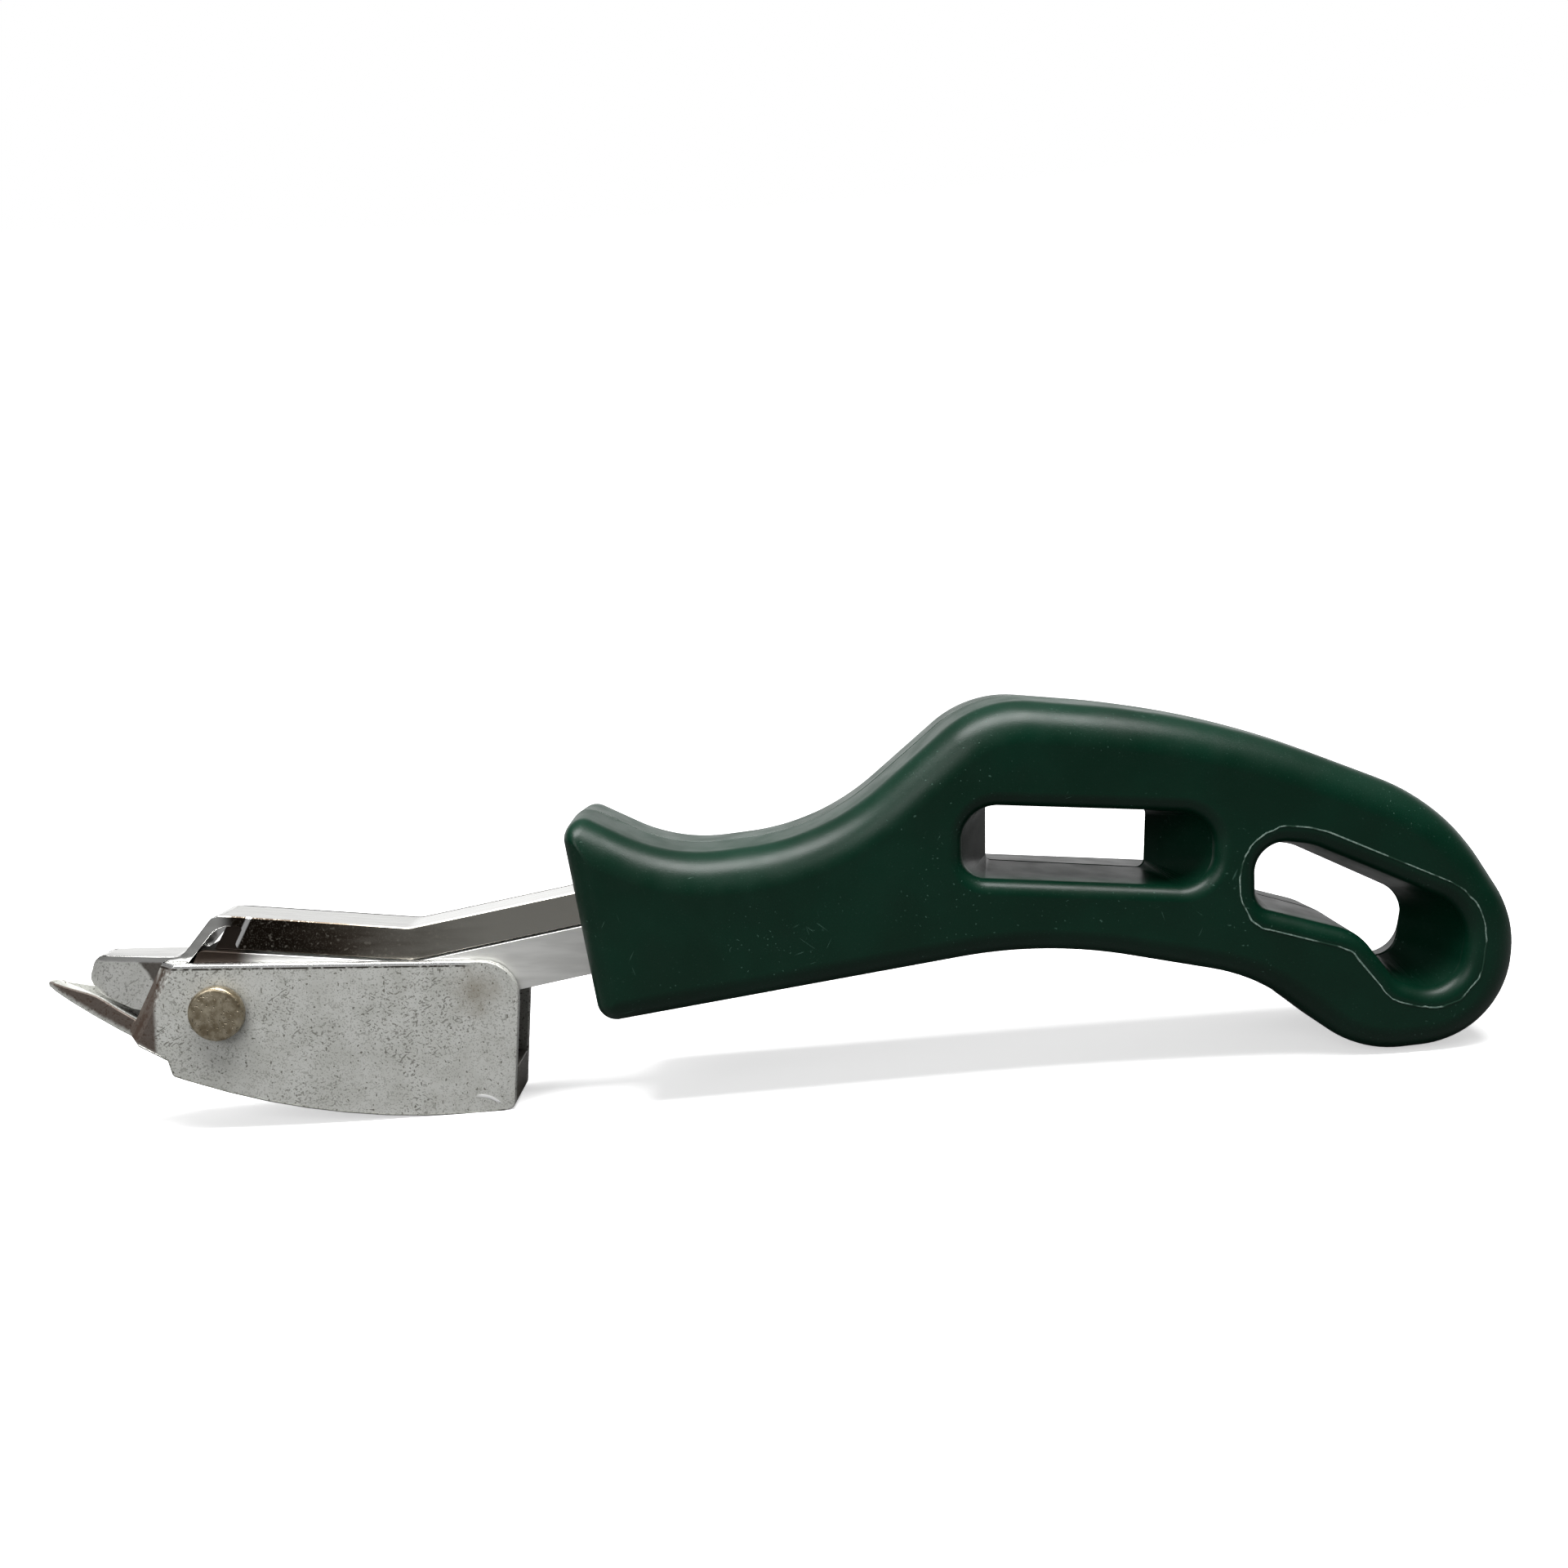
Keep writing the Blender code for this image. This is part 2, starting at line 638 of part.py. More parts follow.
def lever_height(x):
    """Height of the lever line at x, on its straight stretches."""
    line = lever_line()
    for (x0, z0, _), (x1, z1, _) in zip(line, line[1:]):
        if x0 <= x <= x1:
            return z0 + (z1 - z0) * (x - x0) / (x1 - x0)
    return line[-1][1]


def arm_half_width():
    """Half of the arm's width: it turns inside the shoe with a gap on each side."""
    return SHOE_WIDTH / 2.0 - SHOE_SHEET - GAP


def crest_half_width():
    """Half the width of the arm's upper part: it nests inside the cap with a gap on each side."""
    return CAP_WIDTH / 2.0 - CAP_SHEET - GAP


def make_lever_arm():
    """The arm: a joggled channel, open below, with two ears on the rivet and a tang."""
    half = arm_half_width()
    crest = crest_half_width()
    arm = as_object(slab(rounded(turned_left(arm_corners())), -half, half), "lever_arm")
    join(arm, slab(rounded(turned_left(arm_crest_corners(0.0))), -crest, crest))

    roof = below_lever(CAP_DEPTH + GAP + ARM_SHEET)
    front = ARM_FRONT - 4.0
    floor = PIVOT_Z - 2.0 * EAR_RADIUS
    wide = [(front, roof[2][1], 0.2), roof[3], roof[4], (TANG_END + OVERCUT, roof[5][1], 0.2),
            (TANG_END + OVERCUT, floor, 0.2), (front, floor, 0.2)]
    narrow_roof = below_lever(CAP_SHEET + GAP + ARM_SHEET)
    slim = [(DECK_FRONT_X + 1.2 + ARM_SHEET, narrow_roof[2][1], 0.3), narrow_roof[3], narrow_roof[4],
            (TANG_END + OVERCUT, narrow_roof[5][1], 0.2),
            (TANG_END + OVERCUT, roof[5][1] - 1.0, 0.2), (NECK_X, roof[4][1] - 1.0, 6.0),
            (VALLEY_X, roof[3][1] - 1.0, 4.0), (DECK_FRONT_X + 1.2 + ARM_SHEET, roof[2][1] - 1.0, 0.2)]
    cut(arm,
        slab(rounded(turned_left(wide)), -half + ARM_SHEET, half - ARM_SHEET),
        slab(rounded(turned_left(slim)), -crest + ARM_SHEET, crest - ARM_SHEET),
        slab(circle(PIVOT_X, PIVOT_Z, RIVET_RADIUS + GAP), -half - OVERCUT, half + OVERCUT))
    for along, up in TANG_PEGS:
        x, z = handle_place(along, up)
        cut(arm, slab(circle(x, z, PEG_RADIUS + GAP, 20), -half - OVERCUT, half + OVERCUT))
    return finish_piece(arm, "lever_arm", "bright_chrome")


def make_rivet():
    """The pivot rivet: a rounded head at the front, the shank and a clinched end."""
    face = SHOE_WIDTH / 2.0 + GAP
    profile = [(RIVET_HEAD_RADIUS - RIVET_HEAD_ROUND * 1.4, -face - RIVET_HEAD_HEIGHT),
               (RIVET_HEAD_RADIUS - RIVET_HEAD_ROUND * 0.5, -face - RIVET_HEAD_HEIGHT * 0.85),
               (RIVET_HEAD_RADIUS, -face - RIVET_HEAD_HEIGHT * 0.45),
               (RIVET_HEAD_RADIUS, -face),
               (RIVET_RADIUS, -face),
               (RIVET_RADIUS, face),
               (CLINCH_RADIUS, face),
               (CLINCH_RADIUS, face + CLINCH_HEIGHT * 0.5),
               (CLINCH_RADIUS - 0.7, face + CLINCH_HEIGHT)]
    rivet = loft([(circle(PIVOT_X, PIVOT_Z, radius), y) for radius, y in profile])
    return finish_piece(as_object(rivet, "pivot_rivet"), "pivot_rivet", "rivet_brass", 40.0)


def sleeve_half_length():
    """Half of the sleeve's length: it fits between the arm's ears."""
    return arm_half_width() - ARM_SHEET - GAP


def make_sleeve():
    """The spacer sleeve that the spring is wound round."""
    bore = RIVET_RADIUS + GAP
    end = sleeve_half_length()
    sleeve = as_object(slab(circle(PIVOT_X, PIVOT_Z, bore + SLEEVE_WALL), -end, end), "spacer_sleeve")
    cut(sleeve, slab(circle(PIVOT_X, PIVOT_Z, bore), -end - OVERCUT, end + OVERCUT))
    return finish_piece(sleeve, "spacer_sleeve", "dull_plating", 40.0)


def coil_radius():
    """Radius of the coil's centre line: it clears the sleeve."""
    return RIVET_RADIUS + GAP + SLEEVE_WALL + GAP + WIRE_RADIUS


def shoe_floor(x):
    """Height of the inside of the sole."""
    return sole_height(x) + SHOE_SHEET


def make_spring():
    """The torsion spring: a coil round the sleeve, one leg under the arm and one on the sole."""
    radius = coil_radius()
    roof = below_lever(CAP_DEPTH + GAP + ARM_SHEET)
    share = (UPPER_LEG_X - roof[2][0]) / (roof[3][0] - roof[2][0])
    upper_z = roof[2][1] + share * (roof[3][1] - roof[2][1]) - GAP - WIRE_RADIUS
    lower_z = shoe_floor(LOWER_LEG_X) + GAP + WIRE_RADIUS
    span = 2.0 * (sleeve_half_length() - WIRE_RADIUS - COIL_END_GAP)

    def tangent(x, z, side):
        """Angle at which a straight leg to (x, z) leaves the coil, on its upper or lower side."""
        dx = x - PIVOT_X
        dz = z - PIVOT_Z
        return math.atan2(dz, dx) + side * math.acos(radius / math.hypot(dx, dz))

    start = tangent(UPPER_LEG_X, upper_z, 1.0)
    end = tangent(LOWER_LEG_X, lower_z, -1.0)
    whole_turns = math.floor(span / COIL_PITCH)
    sweep = 2.0 * math.pi * whole_turns + (end - start) % (2.0 * math.pi)
    steps = round(sweep / (2.0 * math.pi) * COIL_STEPS)
    points = [(UPPER_LEG_X, -span / 2.0, upper_z)]
    for k in range(steps + 1):
        angle = start + sweep * k / steps
        points.append((PIVOT_X + radius * math.cos(angle), span * (k / steps - 0.5),
                       PIVOT_Z + radius * math.sin(angle)))
    points.append((LOWER_LEG_X, span / 2.0, lower_z))

    curve = bpy.data.curves.new("torsion_spring", 'CURVE')
    curve.dimensions = '3D'
    curve.bevel_depth = WIRE_RADIUS
    curve.bevel_resolution = 2
    curve.use_fill_caps = True
    wire = curve.splines.new('POLY')
    wire.points.add(len(points) - 1)
    for point, (x, y, z) in zip(wire.points, points):
        point.co = (x, y, z, 1.0)
    source = bpy.data.objects.new("wire", curve)
    bpy.context.scene.collection.objects.link(source)
    graph = bpy.context.evaluated_depsgraph_get()
    mesh = bpy.data.meshes.new_from_object(source.evaluated_get(graph))
    bpy.data.objects.remove(source)
    spring = bpy.data.objects.new("torsion_spring", mesh)
    bpy.context.scene.collection.objects.link(spring)
    return finish_piece(spring, "torsion_spring", "spring_steel", 60.0)


# Handle ---------------------------------------------------------------------------------------

def handle_corners():
    """The handle's outline in millimetres."""
    return turned_left([(*handle_place(along, up), radius) for along, up, radius in HANDLE_CORNERS])


def handle_shell():
    """Outside of one half, from the seam to its flat side, with a rounded long edge."""
    half = HANDLE_THICKNESS / 2.0
    corners = handle_corners()
    rings = [(rounded(corners), GAP / 2.0)]
    for k in range(EDGE_STEPS + 1):
        a = math.pi / 2.0 * k / EDGE_STEPS
        inset = HANDLE_DRAFT + HANDLE_EDGE * (1.0 - math.cos(a))
        rings.append((inset_outline(corners, inset), half - HANDLE_EDGE + HANDLE_EDGE * math.sin(a)))
    return loft(rings)


def slot_rings(slot, wall):
    """Rings of a slot from past the seam to past the side, grown by a wall."""
    half = HANDLE_THICKNESS / 2.0
    x, z = handle_place(*slot["middle"])
    share_x, share_z = slot["waist"]
    shift = slot["waist_shift"]
    mouth = turned_left([(x + dx, z + dz, radius) for dx, dz, radius in slot["corners"]])
    waist = turned_left([(x + shift + dx * share_x, z + dz * share_z, radius * slot["waist_round"])
                         for dx, dz, radius in slot["corners"]])
    rings = [(inset_outline(waist, -wall), -OVERCUT),
             (inset_outline(waist, -wall), 0.5),
             (inset_outline(mouth, -wall), half - SLOT_LIP)]
    for k in range(1, EDGE_STEPS + 1):
        a = math.pi / 2.0 * k / EDGE_STEPS
        flare = SLOT_LIP * (1.0 - math.cos(a))
        rings.append((inset_outline(mouth, -wall - flare), half - SLOT_LIP + SLOT_LIP * math.sin(a)))
    rings.append((inset_outline(mouth, -wall - SLOT_LIP), half + OVERCUT))
    return rings


def lever_space():
    """The space that the arm and the cap take inside the handle, with a gap all round."""
    half = max(arm_half_width(), CAP_WIDTH / 2.0) + GAP
    line = lever_line()
    front = HANDLE_FRONT - 6.0
    corners = [(front, lever_height(front), 0.1), line[4], line[5], (TANG_END, TANG_LOWER_Z, 0.5),
               (NECK_X, lower_line(NECK_X), 6.0), (front, lower_line(front), 0.1)]
    return slab(inset_outline(corners, -GAP), -half, half)


def make_handle_half(name, peg_side):
    """One half of the handle; the peg side carries the pegs and the other side their sockets."""
    half = HANDLE_THICKNESS / 2.0
    roof = half - HANDLE_WALL
    hollow = as_object(slab(inset_outline(handle_corners(), HANDLE_WALL), -OVERCUT, roof), "hollow")
    for slot in (FINGER_SLOT, HANG_SLOT):
        cut(hollow, loft(slot_rings(slot, SLOT_WALL)))
    low = HANDLE_BASE - OVERCUT
    high = HANDLE_BASE + HANDLE_HEIGHT + OVERCUT
    for along in RIB_PLACES:
        x, _ = handle_place(along, 0.0)
        cut(hollow, block(x - RIB_THICKNESS / 2.0, x + RIB_THICKNESS / 2.0, GAP, half, low, high))
    for along, up in TANG_PEGS + BODY_PEGS:
        x, z = handle_place(along, up)
        cut(hollow, slab(circle(x, z, BOSS_RADIUS, 24), GAP / 2.0, half))

    piece = as_object(handle_shell(), name)
    cut(piece, hollow)
    for slot in (FINGER_SLOT, HANG_SLOT):
        cut(piece, loft(slot_rings(slot, 0.0)))
    cut(piece, lever_space())
    tang_side = max(arm_half_width(), CAP_WIDTH / 2.0) + GAP
    for pegs, start in ((TANG_PEGS, tang_side), (BODY_PEGS, GAP / 2.0)):
        for along, up in pegs:
            x, z = handle_place(along, up)
            if peg_side:
                join(piece, slab(circle(x, z, PEG_RADIUS, 20), -start - PEG_REACH, start + OVERCUT))
            else:
                depth = start + PEG_REACH + GAP
                cut(piece, slab(circle(x, z, PEG_RADIUS + GAP, 20), start - OVERCUT, depth))
    if peg_side:
        piece.data.transform(Matrix.Scale(-1.0, 4, (0.0, 1.0, 0.0)))
        piece.data.flip_normals()
    return finish_piece(piece, name, "green_plastic", 35.0)


# Assembly -------------------------------------------------------------------------------------

def stance_angle():
    """Angle by which the tool tips, about y, until the sole and the heel stand on one plane."""
    sole = rounded(turned_left(shoe_corners()))
    heel = rounded(handle_corners())

    def low(points, angle):
        return min(p.y * math.cos(angle) - p.x * math.sin(angle) for p in points)

    flat = 0.0
    steep = math.radians(20.0)
    for _ in range(40):
        middle = (flat + steep) / 2.0
        if low(heel, middle) > low(sole, middle):
            flat = middle
        else:
            steep = middle
    return (flat + steep) / 2.0


def put(piece, parent, origin):
    """Hang a piece on a parent with its own origin at a point of the tool's side view."""
    move = Vector(origin) * MM
    piece.data.transform(Matrix.Translation(-move))
    piece.parent = parent
    piece.location = move - (parent.location if parent.parent else Vector())


def stand_on_floor(root, pieces):
    """Tip the tool onto its sole and heel and centre its box over the origin."""
    root.rotation_euler = (0.0, stance_angle(), 0.0)
    bpy.context.view_layer.update()
    corners = [piece.matrix_world @ v.co for piece in pieces for v in piece.data.vertices]
    low = Vector([min(c[i] for c in corners) for i in range(3)])
    high = Vector([max(c[i] for c in corners) for i in range(3)])
    root.location = (-(low.x + high.x) / 2.0, -(low.y + high.y) / 2.0, -low.z)
    bpy.context.view_layer.update()


def main():
    for old in list(bpy.data.objects):
        bpy.data.objects.remove(old)
    root = bpy.data.objects.new("stance", None)
    bpy.context.scene.collection.objects.link(root)
    pivot = bpy.data.objects.new("jaw_pivot", None)
    bpy.context.scene.collection.objects.link(pivot)
    pivot.parent = root
    pivot.location = Vector((PIVOT_X, 0.0, PIVOT_Z)) * MM

    lever = [make_handle_half("handle_half_left", True),
             make_handle_half("handle_half_right", False),
             make_lever_cap(),
             make_lever_arm()]
    jaw = [make_shoe(), make_rivet(), make_sleeve(), make_spring()]
    for piece in lever:
        put(piece, root, (PIVOT_X, 0.0, PIVOT_Z))
    for piece in jaw:
        put(piece, pivot, (PIVOT_X, 0.0, PIVOT_Z))
    stand_on_floor(root, lever + jaw)


main()
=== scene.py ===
# %% [markdown]
# # A staple puller
#
# This tool lifts upholstery staples. A pointed beak slides under the staple's crown, the handle is
# pressed down, and a tongue swings up from the beak and draws the staple out. The head is folded
# from plated steel sheet round one rivet, and the handle is a soft green moulding in two halves.
#
# The imported part is loaded first, and nothing moves it afterwards. All that follows gives it finer
# skins and finishes.

# %% The imported part
import json
import math

import bmesh
import bpy
from mathutils import Matrix, Vector, noise


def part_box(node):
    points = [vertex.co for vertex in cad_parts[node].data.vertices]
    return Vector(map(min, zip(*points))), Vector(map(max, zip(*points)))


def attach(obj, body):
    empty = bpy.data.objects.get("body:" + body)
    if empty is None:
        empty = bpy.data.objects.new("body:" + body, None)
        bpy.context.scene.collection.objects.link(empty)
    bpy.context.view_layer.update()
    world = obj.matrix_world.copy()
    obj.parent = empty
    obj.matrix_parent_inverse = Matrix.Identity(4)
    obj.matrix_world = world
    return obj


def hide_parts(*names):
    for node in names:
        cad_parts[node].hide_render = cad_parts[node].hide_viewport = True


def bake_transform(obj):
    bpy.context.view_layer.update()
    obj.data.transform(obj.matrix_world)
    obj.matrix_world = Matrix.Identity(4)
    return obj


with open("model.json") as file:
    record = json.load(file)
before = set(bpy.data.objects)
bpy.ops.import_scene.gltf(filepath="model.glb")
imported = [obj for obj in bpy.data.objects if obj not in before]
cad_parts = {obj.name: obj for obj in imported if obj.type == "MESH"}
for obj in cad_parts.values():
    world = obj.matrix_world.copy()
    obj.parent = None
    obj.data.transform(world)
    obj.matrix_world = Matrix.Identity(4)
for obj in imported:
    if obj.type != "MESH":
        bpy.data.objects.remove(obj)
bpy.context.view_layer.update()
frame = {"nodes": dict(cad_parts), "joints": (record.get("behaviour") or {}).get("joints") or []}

# %% [markdown]
# ## Two ways to say where things are
#
# A toolmaker draws this tool in a side view: x runs from the beak's tip to the heel, z is up, y is
# across, and sizes are in millimetres. The finished tool doesn't lie like that on a bench, because
# it tips until its curved sole and its heel both touch. One matrix turns the drawing into the place
# on the bench. It is tied to the rivet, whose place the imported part's joint gives.

# %% From the drawing to the bench
MM = 0.001
STANCE = math.radians(4.643)            # how far the tool tips to rest on sole and heel
RIVET_AT = Vector((24.2, 0.0, -2.55))   # the rivet's middle in the drawing

rivet_on_bench = Vector(frame["joints"][0]["pos_m"])
TIP = Matrix.Rotation(STANCE, 4, 'Y')
TO_BENCH = Matrix.Translation(rivet_on_bench) @ TIP @ Matrix.Scale(MM, 4) @ Matrix.Translation(-RIVET_AT)
TO_DRAWING = TO_BENCH.inverted()
print("rivet on the bench:", [round(v, 5) for v in rivet_on_bench])

# %% [markdown]
# ## The camera
#
# The view is a close one from the side, a little above the tool, so the perspective is strong. The
# camera is placed in the drawing and tipped with it, which gives it the same slight lean.

# %% Camera
CAMERA_AT = Vector((97.48, -204.635, 49.41))
LOOK_DOWN = math.radians(6.376)

camera = bpy.data.objects.new("camera", bpy.data.cameras.new("camera"))
camera.data.lens = 36.075
camera.data.sensor_width = 36.0
camera.data.clip_start = 0.01
spot = TO_BENCH @ CAMERA_AT
aim = Matrix.Rotation(math.pi / 2.0 - LOOK_DOWN, 4, 'X')
camera.matrix_world = Matrix.Translation(spot) @ TIP @ aim
bpy.context.scene.collection.objects.link(camera)
bpy.context.scene.camera = camera
print("camera at", [round(v, 4) for v in spot])

# %% [markdown]
# ## Writing a finish
#
# A finish is a tree of shader nodes. Wired by hand, even a sum takes several lines, so one small
# class holds a socket and lets Python's own signs add the Math nodes. All other nodes come from one
# method, which takes the kind of node, its settings and what goes into its sockets.

# %% Sockets that can be added up
class Wire:
    """A value that runs along a wire between two nodes."""

    def __init__(self, finish, socket):
        self.finish = finish
        self.socket = socket

    def maths(self, operation, *values):
        return self.finish.node("ShaderNodeMath", {"operation": operation}, dict(enumerate(values)))

    def __add__(self, other):
        return self.maths('ADD', self, other)

    __radd__ = __add__

    def __sub__(self, other):
        return self.maths('SUBTRACT', self, other)

    def __rsub__(self, other):
        return self.maths('SUBTRACT', other, self)

    def __mul__(self, other):
        return self.maths('MULTIPLY', self, other)

    __rmul__ = __mul__

    def __abs__(self):
        return self.maths('ABSOLUTE', self)

    def most(self, other):
        """The larger of two values, which lays one mask over another."""
        return self.maths('MAXIMUM', self, other)

    def root(self):
        """The square root."""
        return self.maths('SQRT', self)

    def between(self, low, high):
        """0 up to low, 1 from high on, and a soft rise between them. low may be above high."""
        flip = low > high
        rise = self.finish.node("ShaderNodeMapRange", {"interpolation_type": 'SMOOTHSTEP'}, {
            "Value": self, "From Min": min(low, high), "From Max": max(low, high)})
        return 1.0 - rise if flip else rise


class Finish:
    """A material whose nodes are written as expressions."""

    def __init__(self, tree):
        self.tree = tree
        self.tree.nodes.clear()

    def node(self, kind, settings=None, sockets=None, out=0):
        """Add a node, set it up, fill its sockets, and hand back the wire from one of its outputs."""
        made = self.tree.nodes.new(kind)
        for name, value in (settings or {}).items():
            if name == "stops":
                self.set_stops(made.color_ramp, value)
            else:
                setattr(made, name, value)
        for name, value in (sockets or {}).items():
            if isinstance(value, Wire):
                self.tree.links.new(value.socket, made.inputs[name])
            else:
                made.inputs[name].default_value = value
        return Wire(self, made.outputs[out]) if made.outputs else made

    def set_stops(self, ramp, stops):
        for place, colour in stops[1:-1]:
            ramp.elements.new(place)
        for element, (place, colour) in zip(ramp.elements, stops):
            element.position = place
            element.color = colour

    def blend(self, share, first, second):
        """A colour that goes from the first to the second as the share goes from 0 to 1."""
        return self.node("ShaderNodeMix", {"data_type": 'RGBA'},
                         {"Factor": share, 6: first, 7: second}, out=2)

    def noise(self, where, scale, detail=2.0, roughness=0.5, out=0):
        return self.node("ShaderNodeTexNoise", {}, {
            "Vector": where, "Scale": scale, "Detail": detail, "Roughness": roughness}, out)


def new_finish(name):
    """An empty material and its sheet of nodes."""
    material = bpy.data.materials.new(name)
    material.use_nodes = True
    return material, Finish(material.node_tree)


def colour(red, green, blue):
    """An opaque colour, as a socket takes it."""
    return (red, green, blue, 1.0)


print("shader helpers ready")

# %% [markdown]
# ## Places in a finish
#
# Every pattern reads Object coordinates, so it stays with its piece when the jaw moves. A Mapping
# node turns them back into the drawing's millimetres, so a rust line can be put where the drawing
# has the fold. Turning a pattern by a few angles makes scratches that run in several directions.

# %% Drawing coordinates in a finish
def drawing_place(finish):
    """Object coordinates as millimetres in the side drawing."""
    here = finish.node("ShaderNodeTexCoord", out=3)
    move = TO_DRAWING.to_translation()
    return finish.node("ShaderNodeMapping", {"vector_type": 'POINT'}, {
        "Vector": here, "Location": move, "Rotation": (0.0, -STANCE, 0.0),
        "Scale": (1.0 / MM, 1.0 / MM, 1.0 / MM)})


def stretched(finish, where, turn, stretch):
    """A place turned about y and squeezed along one direction, which draws a pattern out into lines."""
    turned = finish.node("ShaderNodeMapping", {"vector_type": 'POINT'}, {
        "Vector": where, "Rotation": (0.0, math.radians(turn), 0.0)})
    return finish.node("ShaderNodeMapping", {"vector_type": 'POINT'}, {
        "Vector": turned, "Scale": (1.0 / stretch, 1.0, 1.0)})


def axes(finish, where):
    """The x, y and z of a place."""
    split = finish.node("ShaderNodeSeparateXYZ", {}, {"Vector": where})
    made = split.socket.node
    return [Wire(finish, made.outputs[i]) for i in range(3)]


print("drawing coordinates start at", [round(v, 2) for v in TO_DRAWING.to_translation()])

# %% [markdown]
# ## Scratches and specks
#
# A used tool is covered with short marks. Noise that is drawn out along one direction and cut off
# high gives hair lines, and a second noise keeps them in patches. Specks are the same thing without
# the stretch.

# %% Marks
def hair_lines(finish, where, turn, size, stretch, cut, patches=0.60):
    """Thin lines in one direction: 1 on a line and 0 elsewhere."""
    drawn = finish.noise(stretched(finish, where, turn, stretch), size, 1.0)
    patch = finish.noise(where, 0.13, 1.0).between(patches, patches + 0.08)
    return drawn.between(cut, cut + 0.03) * patch


def specks(finish, where, size, cut, soft=0.04):
    """Small round marks: 1 in a mark and 0 elsewhere."""
    return finish.noise(where, size, 0.0).between(cut, cut + soft)


def finish_surface(finish, sockets, height=None, depth=0.05):
    """Close a finish with its Principled shader and, if a height in millimetres is given, a bump."""
    if height is not None:
        sockets["Normal"] = finish.node("ShaderNodeBump", {}, {
            "Height": height, "Distance": depth * MM, "Strength": 1.0})
    shader = finish.node("ShaderNodeBsdfPrincipled", {}, sockets)
    finish.node("ShaderNodeOutputMaterial", {}, {"Surface": shader})


print("marks ready")

# %% [markdown]
# ## The handle's plastic
#
# The handle is a dark bottle green, moulded with a satin skin. Its flat sides are nearly black in
# the shade, and the rounded edges catch the light as a soft grey-green band. Fine grain breaks the
# gloss up, and years in a tool box have left pale hair lines, nicks and dust.

# %% Green plastic
def green_plastic():
    """Satin bottle green with grain, smudges and pale marks of wear."""
    material, f = new_finish("bottle_green_plastic")
    where = drawing_place(f)
    cloud = f.noise(where, 0.09, 3.0)
    green = f.blend(cloud.between(0.35, 0.7),
                    colour(0.0003, 0.0150, 0.0070), colour(0.0004, 0.0200, 0.0098))
    marks = hair_lines(f, where, 20.0, 3.4, 16.0, 0.73)
    for turn in (-35.0, 65.0, 110.0):
        marks = marks.most(hair_lines(f, where, turn, 3.6, 14.0, 0.74))
    nicks = specks(f, where, 3.2, 0.80) * f.noise(where, 0.07, 1.0).between(0.45, 0.6)
    dust = specks(f, where, 6.5, 0.76)
    worn = (marks * 0.5).most(nicks * 0.55).most(dust * 0.16)
    skin = f.blend(worn, green, colour(0.060, 0.130, 0.10))
    grain = f.noise(where, 5.5, 2.0)
    smudge = f.noise(where, 0.25, 2.0).between(0.3, 0.75)
    finish_surface(f, {"Base Color": skin, "Roughness": 0.33 + 0.08 * smudge + 0.15 * worn,
                       "Specular IOR Level": 0.24},
                   grain * 0.30 - worn * 0.5, 0.03)
    return material


GREEN = green_plastic()
print("finish:", GREEN.name)

# %% [markdown]
# ## Plated steel
#
# The sheet pieces are plated. The shoe and the tongue have gone dull: a pale grey skin full of fine
# dark pits, which scatters light almost like paint. The cap above them is still bright. Its side
# mirrors the dark of the room, and that dark reflection is also painted into its colour: darkest near
# the rivet and lighter towards the rear.

# %% Dull plating
def dull_skin(f, where):
    """Colour, darkness of the marks and cloudiness of pitted grey plating."""
    cloud = f.noise(where, 0.30, 5.0, 0.65)
    pale = f.blend(cloud.between(0.35, 0.65), colour(0.56, 0.565, 0.53), colour(0.64, 0.645, 0.615))
    zone = f.noise(where, 0.13, 2.0).between(0.36, 0.64)
    fine = specks(f, where, 3.4, 0.62, 0.10)
    pits = specks(f, where, 2.2, 0.73, 0.04)
    dust = specks(f, where, 6.0, 0.62, 0.10)
    lines = hair_lines(f, where, 35.0, 3.2, 5.0, 0.68, 0.52)
    lines = lines.most(hair_lines(f, where, -25.0, 3.4, 4.0, 0.69, 0.52))
    dark = (fine * (0.20 + 0.40 * zone)).most(dust * 0.35).most(pits * 0.8).most(lines * 0.7)
    return f.blend(dark, pale, colour(0.09, 0.085, 0.065)), dark, cloud


def distance(dx, dz):
    """How far a place is from a point, from its two offsets in the side view."""
    return (dx * dx + dz * dz).root()


# %% [markdown]
# ## Rust, a stain, a dent and painted light on the shoe
#
# Wear gathers where the shape lets it. Rust sits on the slanted walls at the front and on the outside
# of the beak. Painted shade darkens the inside, the rim gets a painted highlight with a painted dark
# line below it, and a painted highlight rings the dent. Each of these is a mask made from the
# drawing's x, y and z, with a little noise to fray its edge. The masks are laid over the plain dull skin
# one by one.

# %% Places on the shoe, in the drawing's millimetres
FOLD_SLOPE = 0.48               # how far the slanted walls lean back per millimetre of height
WALL_FROM, WALL_TO = 11.55, 11.85
BEAK_FALL = 0.53                # slope of the beak's underside
BEAK_WIDEST = 3.0               # half of the beak's full width
# Where the painted highlight and the painted dark line along the shoe's rim run.
RIM_START = Vector((18.35, 3.5))
RIM_SLOPE = 0.0144              # how much the rim rises per millimetre towards the rear
RIM_END_FROM, RIM_END_TO = 55.0, 57.5
STAIN_AT = Vector((57.5, 0.0))
STAIN_SIZE = 6.0
DENT_AT = Vector((58.0, -17.2))
DENT_RADIUS = 3.4
# the beak widens over its first 10 mm: grey levels from 0 to 1 stand for half widths of 0 to 3 mm
BEAK_TAPER = 10.0
BEAK_HALF_WIDTH = [(at / BEAK_TAPER, colour(share, share, share))
                   for at, share in ((0.0, 0.18), (1.2, 0.42), (3.5, 0.66), (6.5, 0.86), (10.0, 1.0))]
print("points along the beak:", len(BEAK_HALF_WIDTH))


